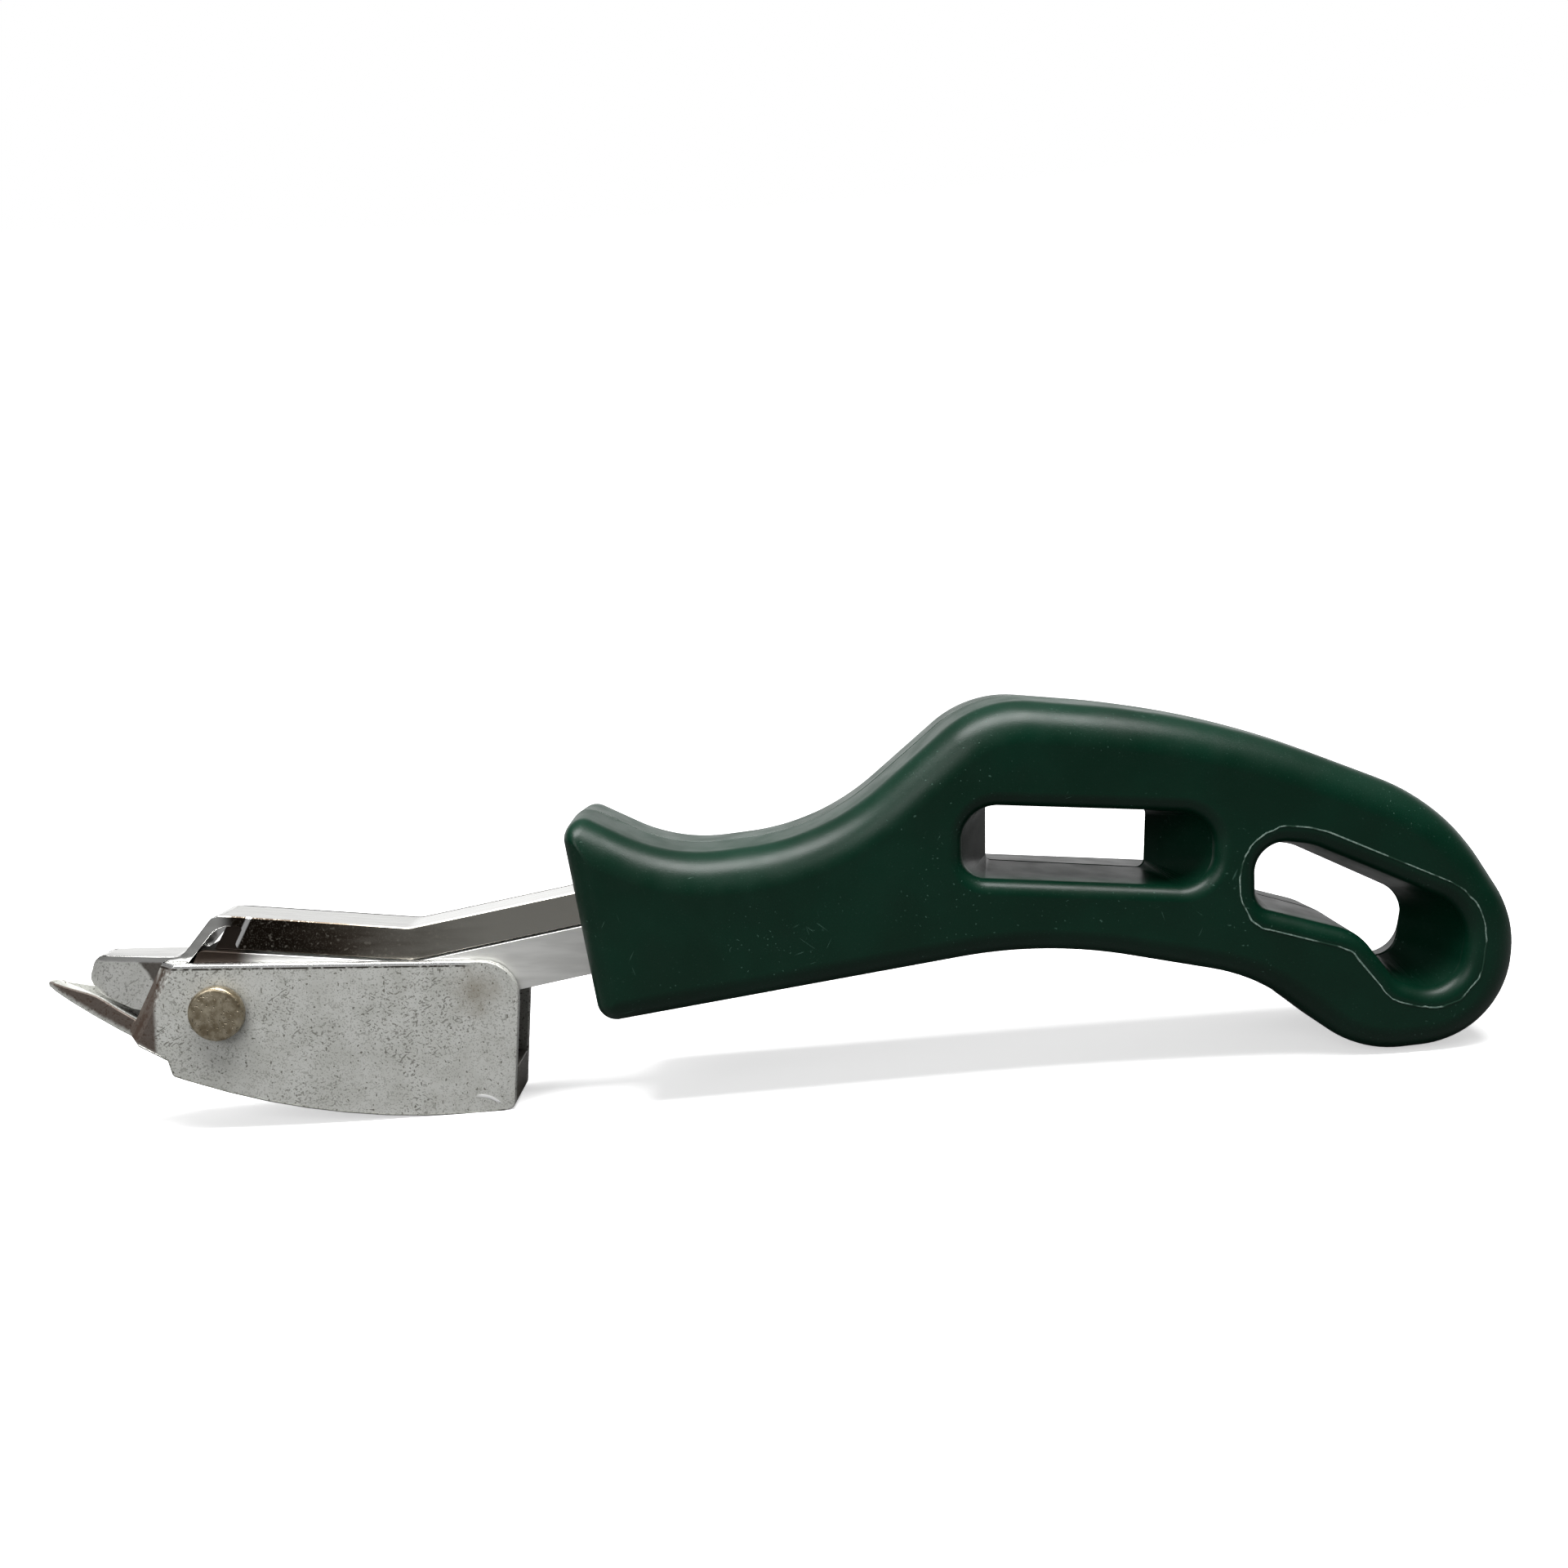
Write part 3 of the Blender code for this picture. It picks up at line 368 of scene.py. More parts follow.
# %% Shoe plating
def shoe_rust(f, x, y, z, edge):
    """1 where the slanted walls and the outside of the beak are rusty."""
    wall = (x - FOLD_SLOPE * z - abs(y) + edge * 0.5).between(WALL_TO, WALL_FROM)
    wall = wall * (abs(y) + edge * 0.5).between(3.5, 4.4)
    half_width = BEAK_WIDEST * f.node("ShaderNodeValToRGB", {"stops": BEAK_HALF_WIDTH},
                                      {0: x * (1.0 / BEAK_TAPER)})
    outside = (abs(y) - half_width).between(-0.35, -0.2) * x.between(16.2, 15.5)
    outside = outside * (z + BEAK_FALL * x + edge * 0.5).between(0.15, 0.9)
    return (wall * 0.95).most(outside * 0.88)


def shoe_plating():
    """Dull plating with rust, a brown stain, one small dent, and painted shade inside, painted highlights
    on the rim and the dent, and a painted dark line below the rim.
    """
    material, f = new_finish("dull_shoe_plate")
    where = drawing_place(f)
    x, y, z = axes(f, where)
    skin, dark, cloud = dull_skin(f, where)
    edge = f.noise(where, 1.6, 3.0)
    skin = f.blend(shoe_rust(f, x, y, z, edge), skin, colour(0.050, 0.024, 0.012))

    # Painted shade on the inside faces of the shoe's walls.
    inside = abs(y).between(4.2, 4.1) * x.between(16.0, 17.0)
    skin = f.blend(inside * 0.8, skin, colour(0.06, 0.045, 0.030))

    ragged = f.noise(where, 0.5, 4.0, 0.7)
    from_stain = distance(x - STAIN_AT.x, z - STAIN_AT.y)
    stain = (from_stain * (1.0 / STAIN_SIZE) + ragged).between(1.25, 0.45)
    skin = f.blend(stain * 0.55, skin, colour(0.19, 0.15, 0.09))

    # Painted highlight along the shoe's rounded rim, with a painted dark line just below it.
    below_rim = RIM_START.y + (x - RIM_START.x) * RIM_SLOPE - z
    straight = x.between(RIM_END_TO, RIM_END_FROM)
    rim = below_rim.between(0.42, 0.34) * straight
    painted_dark_line = below_rim.between(0.40, 0.46) * below_rim.between(0.75, 0.60) * straight
    skin = f.blend(painted_dark_line * edge.between(0.3, 0.5), skin, colour(0.03, 0.025, 0.02))
    skin = f.blend(rim, skin, colour(0.93, 0.93, 0.92))

    from_dent = distance(x - DENT_AT.x, z - DENT_AT.y)
    dent = abs(from_dent - DENT_RADIUS).between(0.30, 0.08)
    dent = dent * x.between(57.0, 58.2) * z.between(-15.0, -14.4)
    # Painted highlight: a bright ring round the dent's edge. The same ring also shapes the dent's bump.
    skin = f.blend(dent, skin, colour(0.90, 0.90, 0.90))
    finish_surface(f, {"Base Color": skin, "Metallic": 0.40 + 0.5 * rim,
                       "Roughness": 0.34 + 0.14 * cloud + 0.2 * dark - 0.2 * rim},
                   cloud * 0.3 - dark * 0.7 + dent * 2.0, 0.02)
    return material


SHOE = shoe_plating()
print("finish:", SHOE.name)

# %% Bright plating
# The cap's front edge, where a painted highlight runs.
CAP_EDGE_X = 23.25              # the cap's bright front edge, where z is 0
CAP_EDGE_SLOPE = 0.5            # how far that edge leans back per millimetre of height


def bright_plating(name, cheek_and_painted_light):
    """Bright plate with a light smear. On the cap, a dull cheek, a painted dark reflection fading along x,
    painted shade by the fold and a painted front-edge highlight; on the arm, painted shade at the front.
    """
    material, f = new_finish(name)
    where = drawing_place(f)
    x, y, z = axes(f, where)
    smear = f.noise(stretched(f, where, 0.0, 6.0), 0.9, 3.0)
    chrome = f.blend(smear.between(0.3, 0.7), colour(0.66, 0.66, 0.64), colour(0.78, 0.78, 0.76))
    if cheek_and_painted_light:
        skin, dark, _ = dull_skin(f, where)
        cheek = x.between(19.5, 18.0) * z.between(3.6, 3.2)
        # Painted shade: a dark wedge on the tongue's cheek next to the shoe's fold.
        painted_flare_shade = (x + 0.75 * z + smear * 1.2).between(15.9, 16.5) * cheek
        # Painted dark reflection on the cap's side, darkest near the rivet and lighter towards the rear.
        dark_reflection = (x + smear * 14.0).between(68.0, 44.0)
        darkest_reflection = (x + smear * 10.0).between(52.0, 36.0)
        painted_reflection_and_pits = f.blend(darkest_reflection, f.blend(dark_reflection, colour(0.42, 0.41, 0.37), colour(0.10, 0.08, 0.06)),
                       colour(0.018, 0.013, 0.009))
        painted_reflection_and_pits = f.blend(dark * 0.5, painted_reflection_and_pits, colour(0.45, 0.42, 0.36))
        # Painted highlight: a white line along the cap's rounded front edge.
        front_edge_highlight = abs(x - CAP_EDGE_SLOPE * z - CAP_EDGE_X).between(0.45, 0.2)
        painted_reflection_and_pits = f.blend(front_edge_highlight, painted_reflection_and_pits, colour(0.95, 0.95, 0.95))
        # The cap's flange side behind the step takes the painted reflection and the painted edge highlight.
        under_rim = x.between(23.5, 26.0) * abs(y).between(3.2, 3.7)
        chrome = f.blend(under_rim, chrome, painted_reflection_and_pits)
        chrome = f.blend(cheek * 0.75, chrome, skin)
        chrome = f.blend(painted_flare_shade * 0.85, chrome, colour(0.035, 0.022, 0.014))
        sockets = {"Base Color": chrome, "Metallic": 1.0 - 0.45 * cheek,
                   "Roughness": 0.13 + 0.10 * smear + 0.14 * cheek}
    else:
        # Painted shade: the arm's front, in the recess between the cap's step and its flange, is made dark.
        painted_front_shade = x.between(31.0, 26.0)
        chrome = f.blend(painted_front_shade, chrome, colour(0.030, 0.020, 0.014))
        sockets = {"Base Color": chrome, "Metallic": 0.6, "Roughness": 0.25 + 0.12 * smear}
    finish_surface(f, sockets, f.noise(where, 0.7, 2.0), 0.012)
    return material


CAP = bright_plating("bright_cap_plate", True)
ARM = bright_plating("pale_arm_plate", False)
print("finishes:", CAP.name, ARM.name)

# %% [markdown]
# ## Rivet, sleeve and spring
#
# The rivet is brass under a worn nickel wash, so it is a dull gold with a mottled face. The sleeve
# and the spring behind it are plain steel: one turned, one drawn.

# %% Small steel and brass
def mottled_metal(name, first, second, size, roughness, depth=0.02):
    """Metal with blotches of two colours and a few dark pits."""
    material, f = new_finish(name)
    where = drawing_place(f)
    blotch = f.noise(where, size, 4.0, 0.65)
    pits = specks(f, where, size * 4.0, 0.68)
    skin = f.blend(blotch.between(0.3, 0.7), first, second)
    skin = f.blend(pits * 0.6, skin, colour(0.06, 0.05, 0.035))
    finish_surface(f, {"Base Color": skin, "Metallic": 0.85, "Roughness": roughness + 0.2 * blotch},
                   blotch * 0.4 - pits, depth)
    return material


RIVET = mottled_metal("worn_brass", colour(0.22, 0.175, 0.11), colour(0.50, 0.44, 0.33), 0.8, 0.22)
SLEEVE = mottled_metal("turned_steel", colour(0.40, 0.40, 0.40), colour(0.55, 0.55, 0.54), 1.5, 0.25)
SPRING = mottled_metal("drawn_wire", colour(0.28, 0.28, 0.30), colour(0.40, 0.40, 0.41), 2.0, 0.22)
print("finishes:", RIVET.name, SLEEVE.name, SPRING.name)

# %% [markdown]
# ## Outlines drawn by spinning
#
# The handle's side view is twelve straight lines with round corners of very different sizes. A
# draughtsperson would set a compass at each corner. Spinning a single point round the compass point
# does the same, and a fixed number of steps at each corner lets two outlines of equal count be
# bridged into a skin. Each side of the outline can move in by its own amount, which lets one long
# edge be rounder than another.

# %% Rounded outlines
FINE_TURN = math.radians(4.0)
FINE_CHORD = 1.2


def moved_in(corners, insets):
    """Corners (x, z, radius) of an outline that runs anticlockwise, each side moved in by its inset."""
    count = len(corners)
    moved = []
    for i, (x, z, radius) in enumerate(corners):
        here = Vector((x, z))
        a = (here - Vector(corners[i - 1][:2])).normalized()
        b = (Vector(corners[(i + 1) % count][:2]) - here).normalized()
        before = insets[i - 1]
        after = insets[i]
        cross = a.x * b.y - a.y * b.x
        turn = math.atan2(cross, a.dot(b))
        left_a = Vector((-a.y, a.x))
        along = (after - before * a.dot(b)) / cross
        corner = here + left_a * before + a * -along
        grown = radius - (before + after) / 2.0 * math.copysign(1.0, turn)
        moved.append((corner.x, corner.y, max(grown, 0.25)))
    return moved


def spun_outline(bm, corners, y, design):
    """A closed loop of edges at y. The design's radii set the steps, so all its copies match."""
    points = [Vector((x, z)) for x, z, _ in corners]
    count = len(points)
    turns = []
    reaches = []
    for i, (_, _, radius) in enumerate(corners):
        a = points[i] - points[i - 1]
        b = points[(i + 1) % count] - points[i]
        turn = a.angle_signed(b) * -1.0
        turns.append(turn)
        reaches.append(radius * abs(math.tan(turn / 2.0)))
    firsts = []
    lasts = []
    for i, corner in enumerate(points):
        ahead = (points[(i + 1) % count] - corner).length
        behind = (corner - points[i - 1]).length
        fit = min(1.0, 0.97 * ahead / (reaches[i] + reaches[(i + 1) % count]),
                  0.97 * behind / (reaches[i] + reaches[i - 1]))
        reach = reaches[i] * fit
        a = (corner - points[i - 1]).normalized()
        radius = reach / abs(math.tan(turns[i] / 2.0))
        start = corner - a * reach
        centre = start + Vector((-a.y, a.x)) * math.copysign(radius, turns[i])
        sweep = abs(turns[i])
        steps = max(1, math.ceil(sweep / FINE_TURN), math.ceil(sweep * design[i][2] / FINE_CHORD))
        first = bm.verts.new((start.x, y, start.y))
        arc = bmesh.ops.spin(bm, geom=[first], cent=(centre.x, y, centre.y), axis=(0.0, -1.0, 0.0),
                             angle=turns[i], steps=steps, use_merge=False)
        firsts.append(first)
        lasts.append([g for g in arc["geom_last"] if isinstance(g, bmesh.types.BMVert)][0])
    for i in range(count):
        bm.edges.new((lasts[i - 1], firsts[i]))
    return firsts[0]


def loop_of(start):
    """All edges of the wire loop that a point lies on."""
    found = []
    vert = start
    edge = None
    while True:
        edge = [e for e in vert.link_edges if e is not edge and not e.link_faces][0]
        found.append(edge)
        vert = edge.other_vert(vert)
        if vert is start:
            return found


test = bmesh.new()
square = [(0.0, 0.0, 1.0), (10.0, 0.0, 1.0), (10.0, 10.0, 1.0), (0.0, 10.0, 1.0)]
print("a square with round corners has", len(loop_of(spun_outline(test, square, 0.0, square))), "edges")
test.free()

# %% [markdown]
# ## The two halves of the handle
#
# Each half is a shell of rings. The outer rings climb from the seam to the flat side, and each one
# moves in along a quarter circle, which rounds the long edge. The thumb side of the grip is rounder
# than the underside, so every side of the outline has its own radius. Both slots are rings too:
# narrow at the seam, wider towards the side and flared into a lip, as a mould has to be so that the
# moulding comes off it.

# %% Sizes of the handle
HANDLE_AT = Vector((69.4, -6.5))
HANDLE_LENGTH = 120.5
HANDLE_HEIGHT = 44.6
HALF_THICKNESS = 12.0
DRAFT = 0.35
SEAM_GAP = 0.09
SEAM_EDGE = 0.26
LIP = 2.0
EDGE_RINGS = 12
# percent of the length, percent of the height, corner radius, radius of the long edge to the next corner
HANDLE_SHAPE = [
    (3.8, 7.2, 2.8, 3.0),
    (50.7, 30.9, 61.5, 3.0),
    (72.7, 21.1, 23.0, 3.0),
    (84.1, -1.3, 14.1, 3.4),
    (99.7, 3.8, 13.2, 3.8),
    (100.2, 39.7, 14.2, 4.2),
    (92.1, 71.7, 26.5, 4.6),
    (67.6, 96.2, 110.0, 5.0),
    (43.7, 101.1, 15.0, 5.0),
    (27.2, 61.2, 31.0, 5.0),
    (11.5, 55.6, 21.5, 4.6),
    (-0.6, 70.7, 2.5, 3.0),
]
# for each slot: its middle, corners from there at the mouth, and what is left of them at the seam
FINGER_SLOT = ((54.6, 60.0), [(-15.4, -4.3, 3.2), (15.8, -5.5, 4.0), (15.9, 3.9, 4.2), (-15.6, 4.9, 4.4)],
               (0.67, 0.86), -0.9, 0.25)
HANG_SLOT = ((83.0, 42.0), [(-12.8, 0.0, 2.6), (0.2, -3.2, 7.0), (5.2, -9.4, 3.2), (12.6, -11.6, 4.4),
                            (14.1, -0.3, 6.0), (-6.0, 7.9, 8.0), (-13.2, 8.6, 3.8)],
             (0.76, 0.82), -0.8, 0.7)


def on_handle(along, up):
    """A point of the drawing, from percent of the handle's length and height."""
    return HANDLE_AT.x + HANDLE_LENGTH * along / 100.0, HANDLE_AT.y + HANDLE_HEIGHT * up / 100.0


OUTLINE = [(*on_handle(along, up), radius) for along, up, radius, _ in HANDLE_SHAPE]
EDGE_RADII = [edge for _, _, _, edge in HANDLE_SHAPE]
print("handle outline corners:", len(OUTLINE))


# %% Skins from rings
def ring(bm, corners, y, design):
    """The edges of one closed outline at y."""
    return loop_of(spun_outline(bm, corners, y, design))


def skin(bm, rings):
    """Bridge each ring to the next."""
    for near, far in zip(rings, rings[1:]):
        bmesh.ops.bridge_loops(bm, edges=near + far)


def outer_rings(bm):
    """From the seam, over a small break in its edge, to the flat side."""
    widest = max(EDGE_RADII)
    rings = [ring(bm, moved_in(OUTLINE, [SEAM_EDGE] * len(OUTLINE)), SEAM_GAP, OUTLINE),
             ring(bm, OUTLINE, SEAM_GAP + SEAM_EDGE, OUTLINE)]
    for k in range(EDGE_RINGS + 1):
        y = HALF_THICKNESS - widest + widest * math.sin(math.pi / 2.0 * k / EDGE_RINGS)
        insets = []
        for radius in EDGE_RADII:
            rise = max(0.0, (y - HALF_THICKNESS + radius) / radius)
            fall = 1.0 - math.sqrt(max(0.0, 1.0 - rise * rise))
            insets.append(DRAFT * y / HALF_THICKNESS + radius * fall)
        rings.append(ring(bm, moved_in(OUTLINE, insets), y, OUTLINE))
    return rings


def slot_cutter(slot):
    """A slot as a solid, from past the seam to past its flared mouth on the flat side."""
    (along, up), corners, (share_x, share_z), shift, share_round = slot
    x, z = on_handle(along, up)
    mouth = [(x + dx, z + dz, radius) for dx, dz, radius in corners]
    waist = [(x + shift + dx * share_x, z + dz * share_z, radius * share_round)
             for dx, dz, radius in corners]
    bm = bmesh.new()
    rings = []
    for y, out in ((-1.0, SEAM_EDGE + 1.0 + SEAM_GAP), (SEAM_GAP, SEAM_EDGE), (SEAM_GAP + SEAM_EDGE, 0.0)):
        rings.append(ring(bm, moved_in(waist, [-out] * len(corners)), y, mouth))
    steps = EDGE_RINGS - 2
    for k in range(steps + 1):
        bend = math.pi / 2.0 * k / steps
        out = LIP * (1.0 - math.cos(bend))
        y = HALF_THICKNESS - LIP + LIP * math.sin(bend)
        rings.append(ring(bm, moved_in(mouth, [-out] * len(corners)), y, mouth))
    rings.append(ring(bm, moved_in(mouth, [-LIP] * len(corners)), HALF_THICKNESS + 1.0, mouth))
    return solid(bm, rings)


def solid(bm, rings):
    """Bridge the rings, fill both ends and point all faces outwards."""
    skin(bm, rings)
    bmesh.ops.contextual_create(bm, geom=rings[0])
    bmesh.ops.contextual_create(bm, geom=rings[-1])
    bmesh.ops.recalc_face_normals(bm, faces=bm.faces)
    return bm


def loose_object(bm, name):
    """A bmesh as an object in drawing millimetres, for the cutting bench."""
    mesh = bpy.data.meshes.new(name)
    bm.to_mesh(mesh)
    bm.free()
    made = bpy.data.objects.new(name, mesh)
    bpy.context.scene.collection.objects.link(made)
    return made


def carved(bm, cutters):
    """Cut solids out of a solid, and hand back the result as a bmesh."""
    block = loose_object(bm, "block")
    for cutter in cutters:
        tool = loose_object(cutter, "cutter")
        cut = block.modifiers.new("cut", 'BOOLEAN')
        cut.operation = 'DIFFERENCE'
        cut.solver = 'EXACT'
        cut.object = tool
        bpy.context.view_layer.update()
        graph = bpy.context.evaluated_depsgraph_get()
        result = bpy.data.meshes.new_from_object(block.evaluated_get(graph))
        block.modifiers.remove(cut)
        block.data = result
        bpy.data.objects.remove(tool)
    made = bmesh.new()
    made.from_mesh(block.data)
    bpy.data.objects.remove(block)
    bmesh.ops.remove_doubles(made, verts=made.verts, dist=0.002)
    bmesh.ops.dissolve_degenerate(made, edges=made.edges, dist=0.002)
    return made


def closed(bm):
    """True if every edge lies between two faces."""
    return all(len(edge.link_faces) == 2 for edge in bm.edges)


print("ring helpers ready")

# %% [markdown]
# The tang of the steel head runs into a pocket in the front of the handle. Only its mouth can be
# seen, so the pocket is a short block with the steel's width and a hair of clearance.

# %% One half of the handle
POCKET_HALF_WIDTH = 4.05
POCKET_SHAPE = [(60.0, 1.5), (76.5, 5.1), (76.5, 14.4), (60.0, 10.9)]


def pocket():
    """The tang's pocket as a cutter, from past the seam outwards."""
    bm = bmesh.new()
    verts = [bm.verts.new((x, -1.0, z)) for x, z in POCKET_SHAPE]
    face = bm.faces.new(verts)
    grown = bmesh.ops.extrude_face_region(bm, geom=[face])
    moved = [g for g in grown["geom"] if isinstance(g, bmesh.types.BMVert)]
    bmesh.ops.translate(bm, verts=moved, vec=(0.0, POCKET_HALF_WIDTH + 1.0, 0.0))
    bmesh.ops.recalc_face_normals(bm, faces=bm.faces)
    return bm


def as_piece(bm, name, material, sharp=35.0):
    """Turn a bmesh from the drawing into a smooth-shaded object on the bench."""
    bm.transform(TO_BENCH)
    mesh = bpy.data.meshes.new(name)
    bm.to_mesh(mesh)
    bm.free()
    mesh.materials.append(material)
    mesh.shade_smooth()
    mesh.set_sharp_from_angle(angle=math.radians(sharp))
    piece = bpy.data.objects.new(name, mesh)
    bpy.context.scene.collection.objects.link(piece)
    return piece


def flat_faces_stay_flat(piece):
    """Let big faces set the normals, so a flat side isn't shaded by its rounded edge."""
    weigh = piece.modifiers.new("flat faces stay flat", 'WEIGHTED_NORMAL')
    weigh.keep_sharp = True
    weigh.weight = 80


def handle_half(name, side):
    """One half of the handle, on the side of y that the sign gives."""
    bm = bmesh.new()
    bm = carved(solid(bm, outer_rings(bm)), [slot_cutter(FINGER_SLOT), slot_cutter(HANG_SLOT), pocket()])
    if side < 0:
        bmesh.ops.scale(bm, vec=(1.0, -1.0, 1.0), verts=bm.verts)
    bmesh.ops.recalc_face_normals(bm, faces=bm.faces)
    print(name, "faces:", len(bm.faces), "closed:", closed(bm))
    piece = as_piece(bm, name, GREEN)
    flat_faces_stay_flat(piece)
    return piece


handle_left = handle_half("handle_left_skin", -1.0)
handle_right = handle_half("handle_right_skin", 1.0)
for piece, node in ((handle_left, "handle_half_left"), (handle_right, "handle_half_right")):
    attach(piece, "lever")
    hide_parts(node)

# %% [markdown]
# ## A burr round the rear slot
#
# Years of hooks and fingers have rubbed the skin of the plastic up round the mouth of the rear slot.
# It is left as a thin, pale, wandering ridge: a flat plate a little larger than the mouth, with a
# slightly smaller one cut out of it, and then every point pushed a little way by the same noise.

# %% Burr
BURR_OUT = 2.15          # from the slot's mouth, so just outside its lip
BURR_WIDTH = 0.16
BURR_RISE = 0.05
BURR_WANDER = 0.30


def burr_plastic():
    """Rubbed plastic: pale, but gone in places."""
    material, f = new_finish("rubbed_green_plastic")
    where = drawing_place(f)
    gone = f.noise(where, 0.35, 3.0).between(0.40, 0.50)
    pale = f.blend(f.noise(where, 2.0, 2.0).between(0.35, 0.65),
                   colour(0.10, 0.17, 0.14), colour(0.22, 0.30, 0.26))
    finish_surface(f, {"Base Color": f.blend(gone, colour(0.004, 0.035, 0.018), pale), "Roughness": 0.6})
    return material


def burr(name, side):
    """A wandering ridge round the rear slot's mouth, on one flat side."""
    (along, up), corners, _, _, _ = HANG_SLOT
    x, z = on_handle(along, up)
    mouth = [(x + dx, z + dz, radius) for dx, dz, radius in corners]
    band = []
    for out, reach in ((BURR_OUT + BURR_WIDTH, BURR_RISE), (BURR_OUT, 1.0)):
        bm = bmesh.new()
        shape = moved_in(mouth, [-out] * len(corners))
        band.append(solid(bm, [ring(bm, shape, HALF_THICKNESS + rise, mouth) for rise in (-reach, reach)]))
    bm = carved(band[0], band[1:])
    for vert in bm.verts:
        here = Vector((vert.co.x, vert.co.z, 0.0))
        sway = noise.noise_vector(here * 0.35) + noise.noise_vector(here * 1.4) * 0.4
        vert.co.x += sway.x * BURR_WANDER
        vert.co.z += sway.y * BURR_WANDER
        vert.co.y *= side
    bmesh.ops.recalc_face_normals(bm, faces=bm.faces)
    print(name, "faces:", len(bm.faces), "closed:", closed(bm))
    return as_piece(bm, name, BURR)


BURR = burr_plastic()
for name, side in (("hang_slot_burr_left", -1.0), ("hang_slot_burr_right", 1.0)):
    piece = burr(name, side)
    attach(piece, "lever")

# %% [markdown]
# ## The folded steel pieces
#
# The shapes of the cap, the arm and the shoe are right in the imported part, but all their cut edges
# are perfectly sharp. Real cut sheet has a tiny broken edge, and that thin bright line is much of
# what says steel. A copy of each piece is taken, its loose triangles are merged and joined to flat
# faces, and all sharp edges get a small round.

# %% Copies with broken edges
def edge_broken_copy(node, name, material, radius, steps=2, sharp=28.0):
    """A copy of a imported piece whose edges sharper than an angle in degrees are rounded."""
    bm = bmesh.new()
    bm.from_mesh(frame["nodes"][node].data)
    bm.transform(TO_DRAWING)
    bmesh.ops.remove_doubles(bm, verts=bm.verts, dist=0.001)
    bmesh.ops.dissolve_limit(bm, angle_limit=math.radians(0.3), verts=bm.verts, edges=bm.edges,
                             use_dissolve_boundaries=False, delimit=set())
    crisp = [e for e in bm.edges if len(e.link_faces) == 2 and e.calc_face_angle(0.0) > math.radians(sharp)]
    bmesh.ops.bevel(bm, geom=crisp, offset=radius, segments=steps, profile=0.5, affect='EDGES',
                    clamp_overlap=False, material=-1)
    print(name, "edges rounded:", len(crisp), "faces:", len(bm.faces), "closed:", closed(bm))
    return as_piece(bm, name, material, 40.0)


STEEL = [
    ("lever_cap", "lever_cap_sheet", CAP, "cap_chrome", "lever", 0.10),
    ("lever_arm", "lever_arm_sheet", ARM, "arm_plating", "lever", 0.10),
    ("shoe", "shoe_sheet", SHOE, "shoe_plating", "shoe", 0.16),
]
for node, name, material, slot, body, radius in STEEL:
    piece = edge_broken_copy(node, name, material, radius)
    flat_faces_stay_flat(piece)
    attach(piece, body)
    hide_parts(node)

# %% [markdown]
# ## The rivet
#
# A rivet is turned metal, so it is one profile spun about its own line: a flat head with a well
# rounded rim, the shank through all the sheets, and the clinched end that was hammered over a
# second washer-like face.

# %% Rivet
def turned(name, material, profile, centre):
    """Spin a profile of (radius, y, round) about the line through a centre, across the tool."""
    bm = bmesh.new()
    verts = [bm.verts.new((centre.x + radius, y, centre.z)) for radius, y, _ in profile]
    for pair in zip(verts, verts[1:]):
        bm.edges.new(pair)
    for vert, (_, _, soft) in zip(verts, profile):
        if soft:
            bmesh.ops.bevel(bm, geom=[vert], offset=soft, segments=5, profile=0.5, affect='VERTICES',
                            material=-1)
    bmesh.ops.spin(bm, geom=bm.verts[:] + bm.edges[:], cent=centre, axis=(0.0, 1.0, 0.0),
                   angle=2.0 * math.pi, steps=72, use_merge=True)
    bmesh.ops.remove_doubles(bm, verts=bm.verts, dist=0.001)
    bmesh.ops.recalc_face_normals(bm, faces=bm.faces)
    print(name, "faces:", len(bm.faces), "closed:", closed(bm))
    return as_piece(bm, name, material, 40.0)


lowest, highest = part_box("pivot_rivet")
head_face = lowest.y / MM
tail_face = highest.y / MM
UNDER_HEAD = 5.7                # how far out the head and the clinched end begin
SHANK_RADIUS = 2.3
RIVET_PROFILE = [(0.0, head_face, 0.0),
                 (3.55, head_face + 0.15, 0.45),
                 (3.6, -UNDER_HEAD, 0.12),
                 (SHANK_RADIUS, -UNDER_HEAD, 0.0),
                 (SHANK_RADIUS, UNDER_HEAD, 0.0),
                 (3.2, UNDER_HEAD, 0.12),
                 (2.9, tail_face - 0.05, 0.3),
                 (0.0, tail_face, 0.0)]
rivet = turned("rivet_turned", RIVET, RIVET_PROFILE, RIVET_AT)
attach(rivet, "shoe")
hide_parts("pivot_rivet")

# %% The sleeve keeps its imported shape
sleeve = frame["nodes"]["spacer_sleeve"]
sleeve.data.materials.clear()
sleeve.data.materials.append(SLEEVE)
print("sleeve has its finish:", SLEEVE.name)

# %% [markdown]
# ## The spring
#
# One leg of the spring presses up under the arm and the other one down on the sole, so as the jaws
# open, the upper leg goes with the lever and the lower leg stays with the shoe. The coil between
# them winds up. A copy of the wire is taken with its edges rounded, and it is left in place,
# attached to neither body.

# %% Spring between the two bodies
spring = edge_broken_copy("torsion_spring", "spring_wire", SPRING, 0.04, sharp=60.0)
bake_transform(spring)
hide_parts("torsion_spring")

# %% [markdown]
# ## Floor, surroundings and lamps
#
# The tool stands on a plain white table in soft light. The lamps are large, because a small lamp
# would draw hard streaks on the satin handle. What the bright plate mirrors matters as much as what
# lights it: white behind, and dark on the near side, where the room is.

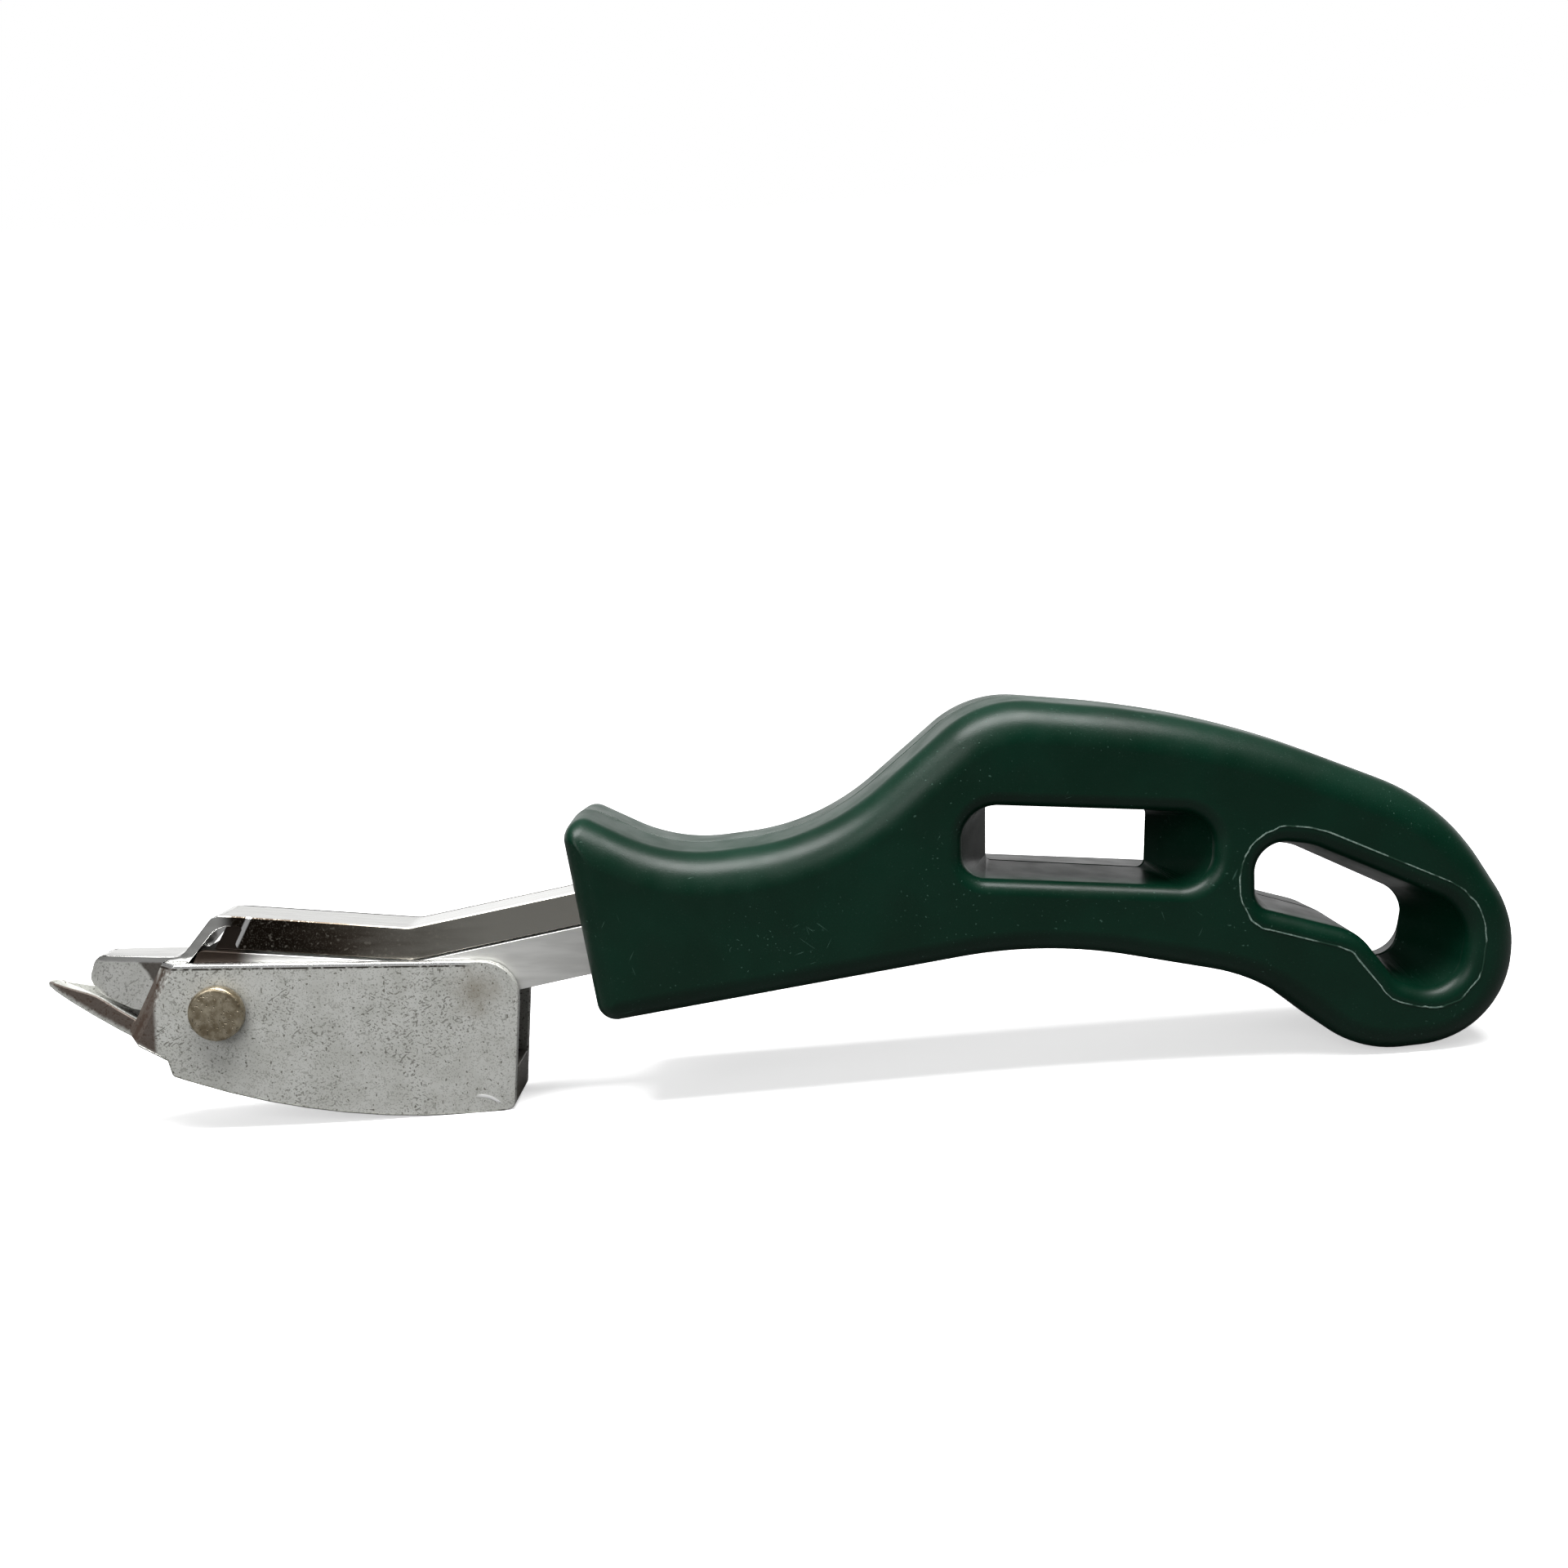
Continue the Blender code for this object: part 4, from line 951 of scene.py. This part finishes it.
# %% White table
def white_table():
    """A white top that glows to the camera, more so further out, so that it has no horizon."""
    material, f = new_finish("white_table")
    seen = f.node("ShaderNodeLightPath", out=0)
    shade = f.blend(seen, colour(0.13, 0.13, 0.13), colour(0.92, 0.92, 0.92))
    diffuse = f.node("ShaderNodeBsdfDiffuse", {}, {"Color": shade})
    x, y, _ = axes(f, f.node("ShaderNodeTexCoord", out=3))
    away = (x * x + y * y).between(0.02, 0.30)
    glow = f.node("ShaderNodeEmission", {}, {
        "Color": colour(1.0, 1.0, 1.0), "Strength": seen * (0.55 + 0.45 * away)})
    both = f.node("ShaderNodeAddShader", {}, {0: diffuse, 1: glow})
    f.node("ShaderNodeOutputMaterial", {}, {"Surface": both})
    return material


bm = bmesh.new()
bmesh.ops.create_circle(bm, cap_ends=True, segments=96, radius=3.0)
floor_mesh = bpy.data.meshes.new("table_top")
bm.to_mesh(floor_mesh)
bm.free()
table_top = bpy.data.objects.new("table_top", floor_mesh)
bpy.context.scene.collection.objects.link(table_top)
floor_mesh.materials.append(white_table())
print("table top is 6 m across")

# %% Surroundings
world = bpy.data.worlds.new("soft studio")
bpy.context.scene.world = world
world.use_nodes = True
w = Finish(world.node_tree)
direction = w.node("ShaderNodeTexCoord", out=0)
_, back, up = axes(w, direction)
seen = w.node("ShaderNodeLightPath", out=0)
glow = 0.04 + back.between(0.1, 0.9) * 1.1 * up.between(0.55, 0.15) + 0.35 * up.between(0.3, 0.9)
strength = seen.maths('MAXIMUM', seen, glow)
light = w.node("ShaderNodeBackground", {}, {"Color": colour(1.0, 1.0, 1.0), "Strength": strength})
w.node("ShaderNodeOutputWorld", {}, {"Surface": light})
print("surroundings: white behind, dark in front")


# %% Lamps
def softbox(name, at, toward, width, height, power):
    """A large rectangular lamp."""
    data = bpy.data.lights.new(name, 'AREA')
    data.shape = 'RECTANGLE'
    data.size = width
    data.size_y = height
    data.energy = power
    lamp = bpy.data.objects.new(name, data)
    lamp.location = at
    lamp.rotation_euler = (Vector(toward) - Vector(at)).to_track_quat('-Z', 'Y').to_euler()
    bpy.context.scene.collection.objects.link(lamp)
    return lamp


softbox("overhead softbox", (0.0, -0.10, 0.50), (0.0, 0.0, 0.02), 0.50, 0.22, 6.0)
softbox("front fill", (-0.35, -0.55, 0.35), (0.0, 0.0, 0.02), 0.35, 0.35, 1.6)
bpy.context.scene.view_settings.view_transform = 'Standard'

# %% [markdown]
# ## The end

# The skins have to stay inside the imported part's box.


print("scene built")
